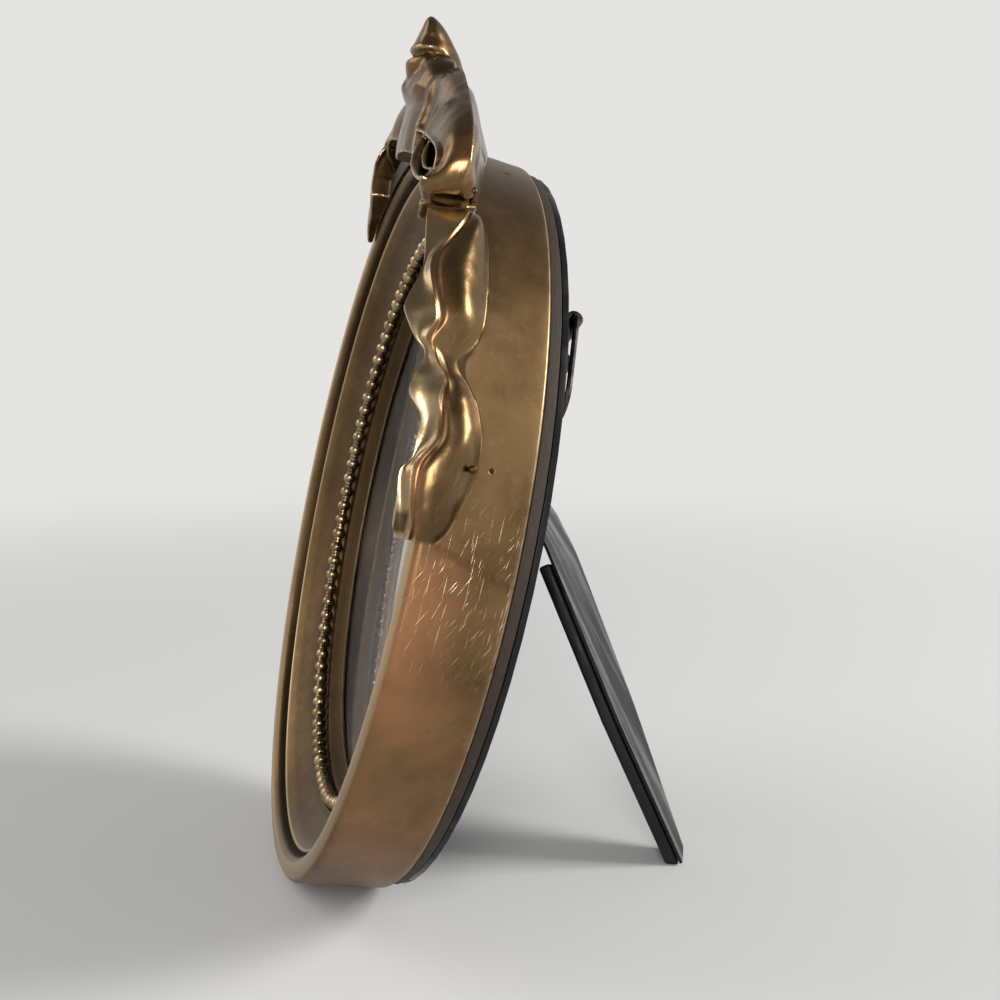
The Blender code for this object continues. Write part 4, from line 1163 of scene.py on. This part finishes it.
# Ribbon tails: angle along the rim, then front edge, ridge and back edge as depths, the ridge's height,
# and the height of the swell behind it.
RIGHT_TAIL = (
    (4.0, -0.0028, -0.0009, 0.0036, 0.0010, 0.0010),
    (5.6, -0.0034, -0.0011, 0.0050, 0.0015, 0.0022),
    (8.6, -0.0035, -0.0019, 0.0062, 0.0019, 0.0030),
    (11.9, -0.0037, -0.0024, 0.0076, 0.0022, 0.0034),
    (13.6, -0.0023, -0.0017, 0.0080, 0.0021, 0.0035),
    (16.0, -0.0021, 0.0002, 0.0080, 0.0023, 0.0034),
    (18.6, -0.0019, 0.0003, 0.0076, 0.0021, 0.0030),
    (21.3, -0.0042, -0.0001, 0.0066, 0.0024, 0.0022),
    (23.6, -0.0038, 0.0003, 0.0050, 0.0025, 0.0011),
    (25.0, -0.0031, -0.0009, 0.0040, 0.0022, 0.0006),
    (26.9, -0.0028, -0.0022, 0.0040, 0.0019, 0.0005),
    (28.2, -0.0042, -0.0032, 0.0048, 0.0021, 0.0011),
    (30.6, -0.0059, -0.0021, 0.0058, 0.0026, 0.0026),
    (32.6, -0.0066, -0.0025, 0.0062, 0.0028, 0.0033),
    (37.4, -0.0047, -0.0036, 0.0064, 0.0024, 0.0036),
    (40.0, -0.0042, -0.0032, 0.0064, 0.0023, 0.0036),
    (43.0, -0.0042, -0.0012, 0.0063, 0.0027, 0.0035),
    (46.5, -0.0042, 0.0012, 0.0060, 0.0031, 0.0033),
    (49.0, -0.0041, 0.0022, 0.0054, 0.0028, 0.0022),
    (50.2, -0.0038, 0.0024, 0.0046, 0.0021, 0.0010),
)
LEFT_TAIL = (
    (8.0, 0.0016, 0.0020, 0.0040, 0.0008, 0.0007),
    (11.0, 0.0015, 0.0022, 0.0062, 0.0016, 0.0022),
    (16.0, 0.0015, 0.0025, 0.0076, 0.0022, 0.0030),
    (21.0, 0.0015, 0.0022, 0.0068, 0.0020, 0.0026),
    (27.0, 0.0015, 0.0023, 0.0052, 0.0021, 0.0012),
    (33.0, 0.0015, 0.0024, 0.0060, 0.0025, 0.0032),
    (40.0, 0.0015, 0.0024, 0.0062, 0.0022, 0.0034),
    (46.0, 0.0015, 0.0026, 0.0058, 0.0027, 0.0031),
    (50.2, 0.0015, 0.0026, 0.0046, 0.0016, 0.0010),
)
# How far from the ridge to the back edge the swell stands highest.
SWELL_PLACE = 0.42
# The tails' front edge, the hollow of the facet behind it, the drop past the ridge, and the unevenness.
TAIL_EDGE_HEIGHT = 0.0009
FACET_HOLLOW = 0.00030
RIDGE_DROP = 0.0004
TAIL_UNEVENNESS = 0.00007
# The point of a tail's section that is its ridge, and the coppery strip past it, counted in points.
RIDGE_COLUMN = 14
STRIP_MIDDLE = 3.5
STRIP_SPREAD = 6.0
# Both tails: name, table, whether it lies on the left, and the number of its sections.
TAILS = (("tail_right", RIGHT_TAIL, False, 260), ("tail_left", LEFT_TAIL, True, 220))


def tail_section(off_side, table, seed):
    """The tail's section at one angle, as (radius, depth) points from the front foot to the back foot."""
    front, ridge, back, height, swell = flow(table, off_side)
    points = [(front, 0.0004), (front - 0.00005, TAIL_EDGE_HEIGHT)]
    for step in range(1, 13):
        share = step / 12
        level = TAIL_EDGE_HEIGHT + (height - TAIL_EDGE_HEIGHT) * share
        points.append((front + (ridge - front) * share, level - FACET_HOLLOW * math.sin(math.pi * share)))
    steps = 40
    for step in range(1, steps + 1):
        share = step / steps
        if share < SWELL_PLACE:
            level = height + (swell - height) * math.sin(math.pi / 2 * share / SWELL_PLACE)
            level -= RIDGE_DROP * bump(share, 0.10, 0.06)
        else:
            level = swell * (1.0 - ((share - SWELL_PLACE) / (1.0 - SWELL_PLACE)) ** 2) ** 1.2
        points.append((ridge + (back - ridge) * share, max(level, 0.0003)))
    section = []
    for depth, level in points:
        uneven = TAIL_UNEVENNESS * grain((off_side * GRAIN_PER_DEGREE, depth, seed), 0.0022, seed)
        section.append((RING_RADIUS + level + uneven, depth))
    return section, front, back


def ribbon_tail(name, table, mirrored, stations):
    """A ribbon tail on the outer wall: a turned front facet, a crisp ridge and a soft swell behind it."""
    loops = []
    low, high = table[0][0], table[-1][0]
    for station in range(stations):
        off_side = high + (low - high) * station / (stations - 1)
        points, front, back = tail_section(off_side, table, 5.0 if mirrored else 2.0)
        angle = 180.0 - off_side if mirrored else off_side
        if front < 0:
            loop = [(RING_RADIUS - 0.0016, max(front + 0.0002, -SEAT_GAP))] + points
            foot = rim_foot(back, 70.0, 4)
        else:
            loop = [points[0]] + points
            foot = [(wall_radius(depth) + SEAT_GAP, depth) for depth in (back, (front + back) / 2, front)]
            foot += [(RING_RADIUS + SEAT_GAP, front)] * 3
        loops.append([on_ring(radius, depth, angle) for radius, depth in loop + foot])
    return loft_mesh(name, loops)


# Easel leg


def leg_place():
    """Where the leg stands: hung on the slanted crease, opened and tilted."""
    turned = Matrix.Rotation(LEG_OPENING, 4, CREASE_LINE) @ Matrix.Rotation(-LEG_TILT, 4, "Y")
    return Matrix.Translation(CREASE_MIDDLE) @ turned


def leg_half_width(height):
    """Half of the leg's width, by the height below the crease's middle."""
    board_top = LEG_BOARD_LENGTH - LEG_LENGTH
    waist = LEG_TAPER_LENGTH - LEG_LENGTH
    if height > board_top:
        share = smooth_step(0.0, 1.0, (height - board_top) / -board_top)
        return LEG_TOP_HALF_WIDTH + (LEG_HINGE_HALF_WIDTH - LEG_TOP_HALF_WIDTH) * share
    if height > waist:
        share = (height - waist) / (board_top - waist)
        return LEG_WAIST_HALF_WIDTH + (LEG_TOP_HALF_WIDTH - LEG_WAIST_HALF_WIDTH) * share
    share = min((waist - height) / LEG_TAPER_LENGTH, 1.0)
    return LEG_WAIST_HALF_WIDTH + (LEG_FOOT_HALF_WIDTH - LEG_WAIST_HALF_WIDTH) * share


def hinge_sheet_rows():
    """Rows of points down the sheet's middle surface, from the glued pad over the crease to the foot."""
    sides = [2 * column / 16 - 1 for column in range(17)]
    half = LEG_HINGE_HALF_WIDTH / math.cos(HINGE_SLANT + LEG_TILT)
    at_crease = SEAT_GAP * 0.4
    rows = []
    for step in range(9):
        up = CREASE_UP * (HINGE_PAD_HEIGHT * (1 - step / 8) + at_crease)
        rows.append([CREASE_MIDDLE + CREASE_LINE * (half * side) + up for side in sides])
    place = leg_place()
    board_top = LEG_BOARD_LENGTH - LEG_LENGTH
    raised = LEG_BOARD_THICKNESS + SEAT_GAP
    foot = -LEG_LENGTH - 0.004
    slope = LEG_HINGE_HALF_WIDTH * math.tan(HINGE_SLANT + LEG_TILT)
    for step in range(49):
        share = (step / 48) ** 1.4
        row = []
        for side in sides:
            top = -side * slope - at_crease
            height = top + (foot - top) * share
            lift = raised * smooth_step(-LEG_RAMP_START, board_top, height)
            ripple = math.sin(height * 900.0 + side) * smooth_step(board_top, board_top + 0.012, height)
            row.append(place @ Vector((side * leg_half_width(height), lift + RIPPLE * ripple, height)))
        rows.append(row)
    return rows


def hinge_sheet():
    """The leatherette as one sheet with thickness, cut off just over the table, and its area."""
    work = bmesh.new()
    grid = [[work.verts.new(point) for point in row] for row in hinge_sheet_rows()]
    for upper, lower in zip(grid, grid[1:]):
        for column in range(len(upper) - 1):
            work.faces.new((upper[column], upper[column + 1], lower[column + 1], lower[column]))
    bmesh.ops.recalc_face_normals(work, faces=work.faces)
    for vert in work.verts:
        vert.co = STAND @ vert.co
    bmesh.ops.bisect_plane(
        work, geom=work.verts[:] + work.edges[:] + work.faces[:], dist=1e-7,
        plane_co=(0, 0, TABLE_CLEARANCE), plane_no=(0, 0, -1), clear_outer=True,
    )
    mesh = mesh_of(work, "hinge_sheet_middle")
    area = sum(face.area for face in mesh.polygons)

    def add_thickness(modifiers):
        solid = modifiers.new("thickness", "SOLIDIFY")
        solid.thickness = LEG_SHEET_THICKNESS
        solid.offset = 0.0

    return modified("hinge_sheet", mesh, add_thickness), area


# Hangers and screws


def screw_head(radius, height):
    """A domed screw head with a cut slot, round Z, with a little of its shank."""
    sides = 28
    levels = [(-height * 1.2, radius * SHANK_SHARE)]
    levels += [(height * share, radius * reach) for share, reach in SCREW_DOME]
    loops = []
    for level, size in levels:
        loop = []
        for side in range(sides):
            turn = 2 * math.pi * (side + 0.5) / sides
            x, y = size * math.cos(turn), size * math.sin(turn)
            in_slot = abs(x) < radius * SLOT_HALF_WIDTH_SHARE and level > height * 0.3
            loop.append((x, y, level - (height * SLOT_DEPTH_SHARE if in_slot else 0.0)))
        loops.append(loop)
    return loft_mesh("screw_head", loops)


def set_screws(name, places, radius, height, finish):
    """Screw heads set on places by a node tree. A place is a point and a turn about the screw's axis."""
    points = bpy.data.meshes.new(name + "_places")
    points.from_pydata([place for place, _turn in places], [], [])
    turns = points.attributes.new("slot_turn", "FLOAT", "POINT")
    turns.data.foreach_set("value", [turn for _place, turn in places])
    tree = Tree(name)
    head = bpy.data.objects.new(name + "_head", screw_head(radius, height))
    info = tree.node("GeometryNodeObjectInfo", values={"Object": head})
    slot_turn = tree.node("GeometryNodeInputNamedAttribute", {"data_type": "FLOAT"}, {"Name": "slot_turn"})
    spin = tree.node("ShaderNodeCombineXYZ", values={"Z": slot_turn.outputs[0]})
    as_turn = tree.node("FunctionNodeEulerToRotation", values={0: spin.outputs[0]})
    lay = tree.node("FunctionNodeEulerToRotation", values={0: (-math.pi / 2, 0.0, 0.0)})
    both = tree.node(
        "FunctionNodeRotateRotation", {"rotation_space": "LOCAL"}, {0: lay.outputs[0], 1: as_turn.outputs[0]}
    )
    points_in = tree.start.outputs[0]
    values = {"Points": points_in, "Instance": info.outputs["Geometry"], "Rotation": both.outputs[0]}
    heads = tree.node("GeometryNodeInstanceOnPoints", values=values)
    tree.close(heads.outputs[0], finish)
    mesh = tree.run(name, points)
    bpy.data.objects.remove(head)
    return mesh


# Stage


def stage_world():
    """A pale room, as bright as its walls low down and dimmer overhead."""
    world = bpy.data.worlds.new("pale_room")
    bpy.context.scene.world = world
    world.use_nodes = True
    tree = world.node_tree
    back = tree.nodes["Background"]
    coordinates = tree.nodes.new("ShaderNodeTexCoord")
    split = tree.nodes.new("ShaderNodeSeparateXYZ")
    tree.links.new(coordinates.outputs["Generated"], split.inputs[0])
    ramp = tree.nodes.new("ShaderNodeMapRange")
    ramp.interpolation_type = "SMOOTHSTEP"
    readings = (ROOM_DIMS_FROM, ROOM_DIMS_TO, ROOM_BRIGHTNESS, ROOM_BRIGHTNESS_OVERHEAD)
    for name, value in zip(("From Min", "From Max", "To Min", "To Max"), readings):
        ramp.inputs[name].default_value = value
    tree.links.new(split.outputs["Z"], ramp.inputs["Value"])
    tree.links.new(ramp.outputs[0], back.inputs["Strength"])
    back.inputs["Color"].default_value = (*ROOM_COLOUR, 1.0)


def table_finish():
    """A pale table near the frame that takes on the room's own tone further off, where it is only seen."""
    shader = Shader("pale_table")
    x, y = shader.split(shader.point(turned=False))[:2]
    away = (x * x + y * y).root().ramp(*TABLE_FADE)
    path = shader.node("ShaderNodeLightPath")
    seen = Wire(shader, path.outputs["Is Camera Ray"])
    seen = seen.higher(path.outputs["Is Glossy Ray"]).higher(path.outputs["Is Transmission Ray"])
    glow = shader.node("ShaderNodeEmission", values={"Color": ROOM_COLOUR, "Strength": ROOM_BRIGHTNESS})
    values = {0: away * seen, 1: shader.surface.outputs[0], 2: glow.outputs[0]}
    mixed = shader.node("ShaderNodeMixShader", values=values)
    shader.feed(shader.output.inputs["Surface"], mixed.outputs[0])
    return shader.finish(base_color=TABLE_COLOUR, roughness=0.85)


def soft_lamp(name, place, size, power, colour):
    """A rectangular lamp that faces the frame's middle."""
    data = bpy.data.lights.new(name, "AREA")
    data.shape = "RECTANGLE"
    data.size, data.size_y = size
    data.energy = power
    data.color = colour
    aimed(name, data, place, FRAME_MIDDLE - Vector(place))


def photo_camera():
    """The camera at the photograph's angle, distance and width of view."""
    data = bpy.data.cameras.new("photo_camera")
    data.lens = CAMERA_LENS
    data.sensor_width = CAMERA_SENSOR
    data.clip_start = 0.01
    level = math.cos(CAMERA_ELEVATION)
    back = Vector((
        math.sin(CAMERA_AZIMUTH) * level, -math.cos(CAMERA_AZIMUTH) * level, math.sin(CAMERA_ELEVATION),
    ))
    bpy.context.scene.camera = aimed("photo_camera", data, CAMERA_AIM + back * CAMERA_DISTANCE, -back)


# Settings, operators and panel


def colour_setting(name, description, default):
    return bpy.props.FloatVectorProperty(
        name=name, description=description, subtype="COLOR", size=3, min=0.0, max=1.0, default=default
    )


def count_setting(name, description, default, low, high):
    return bpy.props.IntProperty(name=name, description=description, default=default, min=low, max=high)


def length_setting(name, description, default, low, high):
    return bpy.props.FloatProperty(
        name=name, description=description, default=default, min=low, max=high, unit="LENGTH", precision=5
    )


class EaselFrameSettings(bpy.types.PropertyGroup):
    """Sizes and steps of the moulding, the beads and the bow."""

    ring_steps: count_setting("Steps round the ring", "How finely the moulding is turned", 288, 24, 720)
    bead_count: count_setting("Beads", "Beads in the row round the glass", 108, 12, 300)
    bead_radius: length_setting("Bead radius", "Radius of one bead", 0.0015, 0.0002, 0.005)
    bow_stations: count_setting("Bow steps", "Sections along the bow", 340, 40, 800)
    skin_cell: length_setting("Casting cell", "Cell size of the bow's cast skin", 0.00030, 0.0001, 0.002)


class EaselFrameColours(bpy.types.PropertyGroup):
    """Colours of the frame's finishes."""

    gold: colour_setting("Gold", "Aged gilding", (0.185, 0.118, 0.053))
    gold_dark: colour_setting("Dark gold", "Gilding under old varnish", (0.105, 0.063, 0.028))
    # Pale gold for rubbed gilding and mottling, also used for painted highlights on the rim, the ridge and
    # the tails' facets.
    pale_gold_and_highlight: colour_setting("Light gold", "Rubbed gilding", (0.44, 0.33, 0.19))
    gold_bright: colour_setting("Bright gold", "Fresh scratches", (0.85, 0.66, 0.42))
    copper: colour_setting("Copper", "Red metal that shows through", (0.36, 0.175, 0.085))
    # Used both for real grime and for painted shade in hollows, creases, the loops' eyes and between the
    # beads.
    grime_and_shade: colour_setting("Grime", "Dark brown in the hollows", (0.040, 0.026, 0.013))
    paper: colour_setting("Paper", "Plain picture paper", (0.20, 0.165, 0.155))
    paper_dark: colour_setting("Dark paper", "Mottles in the paper", (0.11, 0.085, 0.078))
    paper_edge: colour_setting("Paper edge", "Browned edge of the paper", (0.15, 0.105, 0.060))
    card: colour_setting("Card", "Filler board", (0.30, 0.27, 0.22))
    card_dark: colour_setting("Dark card", "Mottles in the filler board", (0.20, 0.175, 0.14))
    board: colour_setting("Board", "Bare brown board edge", (0.034, 0.020, 0.009))
    board_dark: colour_setting("Dark board", "Darker fibre", (0.014, 0.009, 0.004))
    black: colour_setting("Black", "Leatherette", (0.004, 0.004, 0.005))
    black_worn: colour_setting("Worn black", "Rubbed leatherette", (0.009, 0.0085, 0.010))
    dust: colour_setting("Dust", "Fine dust", (0.22, 0.21, 0.20))
    glass: colour_setting("Glass", "Clear picture glass", (0.97, 0.985, 0.98))
    glass_dust: colour_setting("Glass dust", "Dust on the glass", (0.75, 0.74, 0.70))
    steel: colour_setting("Steel", "Blackened steel", (0.014, 0.013, 0.014))
    steel_worn: colour_setting("Worn steel", "Rubbed steel", (0.085, 0.072, 0.062))


def frame_settings():
    return bpy.context.scene.easel_frame_settings


def frame_colours():
    return bpy.context.scene.easel_frame_colours


def finish_named(name, maker):
    """The material of this name, made by maker the first time."""
    return bpy.data.materials.get(name) or maker()


def ring_gilding():
    return finish_named("aged_gilding", lambda: gilt_finish("aged_gilding", frame_colours(), False))


def bow_gilding():
    return finish_named("bow_gilding", lambda: gilt_finish("bow_gilding", frame_colours(), True))


def glossy_leatherette():
    return finish_named(
        "glossy_leatherette", lambda: leatherette_finish("glossy_leatherette", frame_colours(), 0.20)
    )


def steel():
    return finish_named("blackened_steel", lambda: steel_finish(frame_colours()))


class EASELFRAME_OT_moulding(bpy.types.Operator):
    """Turns the gilt moulding that replaces the plain ring"""

    bl_idname = "easel_frame.moulding"
    bl_label = "Moulded ring"

    def execute(self, context):
        mesh = moulded_ring(frame_settings(), ring_gilding())
        face_out(mesh)
        mesh.transform(STAND)
        grind_base(mesh)
        mark_wear_and_crease_shade(mesh, reach=0.0009, rounds=1)
        finish = ring_gilding()
        nodes = ("frame_ring",)
        place_piece("moulded_ring", mesh, finish, "frame", nodes, to_world=False, angle=50.0)
        return {"FINISHED"}


class EASELFRAME_OT_beads(bpy.types.Operator):
    """Strings the beads round the glass"""

    bl_idname = "easel_frame.beads"
    bl_label = "Bead row"

    def execute(self, context):
        finish = bead_finish(frame_colours())
        mesh = bead_string(frame_settings(), finish)
        place_piece("bead_string", mesh, finish, "frame", ("bead_row",), angle=60.0)
        return {"FINISHED"}


class EASELFRAME_OT_bow(bpy.types.Operator):
    """Models the ribbon bow with its tuft"""

    bl_idname = "easel_frame.bow"
    bl_label = "Ribbon bow"

    def execute(self, context):
        settings = frame_settings()
        rough = joined("bow", [bow_body(settings.bow_stations, BOW_CONTOURS), tuft(), *loop_edges()])
        mesh = fused("ribbon_bow", rough, settings.skin_cell)
        mark_wear_and_crease_shade(mesh)
        place_piece("ribbon_bow", mesh, bow_gilding(), "frame", ("bow_crest",), angle=80.0)
        return {"FINISHED"}


class EASELFRAME_OT_tails(bpy.types.Operator):
    """Models the two ribbon tails on the outer wall"""

    bl_idname = "easel_frame.tails"
    bl_label = "Ribbon tails"

    def execute(self, context):
        for name, table, mirrored, stations in TAILS:
            tail = ribbon_tail(name, table, mirrored, stations)
            mark_wear_and_crease_shade(tail)
            mark_tail(tail, stations)
            place_piece(name, tail, bow_gilding(), "frame", ("ribbon_" + name,), angle=26.0)
        finish = bow_gilding()
        for node in ("crest_pin_right", "crest_pin_left", "tail_pin_right", "tail_pin_left"):
            rounded_copy(node + "_head", node, 0.00008, finish, "frame", angle=50.0, segments=1)
        return {"FINISHED"}


class EASELFRAME_OT_glazing(bpy.types.Operator):
    """Finishes the glass, the picture paper and the filler"""

    bl_idname = "easel_frame.glazing"
    bl_label = "Glazing"

    def execute(self, context):
        colours = frame_colours()
        rounded_copy("picture_glass", "glass", 0.0002, glass_finish(colours), "frame")
        paper = picture_finish(colours)
        rounded_copy("picture_paper", "picture_card", 0.00005, paper, "frame", segments=1)
        card = board_finish("filler_card", colours.card, colours.card_dark, 0.80)
        rounded_copy("filler", "filler_board", 0.0001, card, "frame", segments=1)
        return {"FINISHED"}


class EASELFRAME_OT_back(bpy.types.Operator):
    """Finishes the back board, its cover and the screws"""

    bl_idname = "easel_frame.back"
    bl_label = "Easel back"

    def execute(self, context):
        colours = frame_colours()
        board = board_finish("brown_pressed_board", colours.board, colours.board_dark, 0.62)
        rounded_copy("brown_back_board", "back_board", 0.0002, board, "frame")
        rounded_copy("cover_sheet", "back_cover", 0.0003, glossy_leatherette(), "frame")
        places = []
        for number, angle in enumerate(BACK_SCREW_ANGLES):
            places.append((on_ring(BACK_SCREW_CIRCLE, BACK_FACE + SEAT_GAP, angle), 0.5 + 1.3 * number))
        mesh = set_screws("back_screw_heads", places, SCREW_HEAD_RADIUS, SCREW_HEAD_HEIGHT, steel())
        nodes = [f"back_screw_{number}" for number in (1, 2, 3, 4)]
        place_piece("back_screw_heads", mesh, steel(), "frame", nodes)
        return {"FINISHED"}


class EASELFRAME_OT_leg(bpy.types.Operator):
    """Builds the easel leg and the sheet that covers and hinges it"""

    bl_idname = "easel_frame.leg"
    bl_label = "Easel leg"

    def execute(self, context):
        colours = frame_colours()
        board = leatherette_finish("black_leg_board", colours, 0.34)
        rounded_copy("leg_core", "leg_board", 0.0006, board, "leg")
        mesh, area = hinge_sheet()
        finish = glossy_leatherette()
        sheet = place_piece("hinge_sheet", mesh, finish, None, to_world=False, angle=50.0)
        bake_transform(sheet)
        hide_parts("leg_sheet", "hinge_pad")
        return {"FINISHED"}


class EASELFRAME_OT_hangers(bpy.types.Operator):
    """Finishes the strap hangers, their rings and screws"""

    bl_idname = "easel_frame.hangers"
    bl_label = "Hangers"

    def execute(self, context):
        for side in ("right", "left"):
            rounded_copy(f"strap_{side}", f"hanger_strap_{side}", 0.00012, steel(), "frame")
            ring, body = f"hanger_ring_{side}", f"ring_{side}"
            rounded_copy(f"hanging_ring_{side}", ring, 0.00008, steel(), body, angle=80.0)
            rounded_copy(f"strap_screw_{side}", f"hanger_screw_{side}", 0.0001, steel(), "frame")
        return {"FINISHED"}


class EASELFRAME_OT_stage(bpy.types.Operator):
    """Lays the floor, lights and camera"""

    bl_idname = "easel_frame.stage"
    bl_label = "Stage"

    def execute(self, context):
        work = bmesh.new()
        bmesh.ops.create_grid(work, x_segments=1, y_segments=1, size=3.0)
        mesh = mesh_of(work, "table")
        mesh.materials.append(table_finish())
        new_object("table", mesh)
        stage_world()
        for lamp in LAMPS:
            soft_lamp(*lamp)
        photo_camera()
        context.scene.view_settings.view_transform = "Standard"
        return {"FINISHED"}


OPERATORS = (
    EASELFRAME_OT_moulding,
    EASELFRAME_OT_beads,
    EASELFRAME_OT_bow,
    EASELFRAME_OT_tails,
    EASELFRAME_OT_glazing,
    EASELFRAME_OT_back,
    EASELFRAME_OT_leg,
    EASELFRAME_OT_hangers,
    EASELFRAME_OT_stage,
)


class EASELFRAME_PT_pieces(bpy.types.Panel):
    """Lists the frame's sizes, colours and pieces"""

    bl_idname = "EASELFRAME_PT_pieces"
    bl_label = "Easel Frame"
    bl_space_type = "VIEW_3D"
    bl_region_type = "UI"
    bl_category = "Easel Frame"

    def draw(self, context):
        column = self.layout.column(align=True)
        for group in (frame_settings(), frame_colours()):
            for name in group.__annotations__:
                column.prop(group, name)
        for operator in OPERATORS:
            column.operator(operator.bl_idname)


def register():
    for item in (EaselFrameSettings, EaselFrameColours, *OPERATORS, EASELFRAME_PT_pieces):
        bpy.utils.register_class(item)
    bpy.types.Scene.easel_frame_settings = bpy.props.PointerProperty(type=EaselFrameSettings)
    bpy.types.Scene.easel_frame_colours = bpy.props.PointerProperty(type=EaselFrameColours)


def unregister():
    del bpy.types.Scene.easel_frame_colours
    del bpy.types.Scene.easel_frame_settings
    for item in (EASELFRAME_PT_pieces, *reversed(OPERATORS), EaselFrameColours, EaselFrameSettings):
        bpy.utils.unregister_class(item)


def main():
    register()
    for operator in OPERATORS:
        group, name = operator.bl_idname.split(".")
        getattr(getattr(bpy.ops, group), name)()


if __name__ == "__main__":
    main()
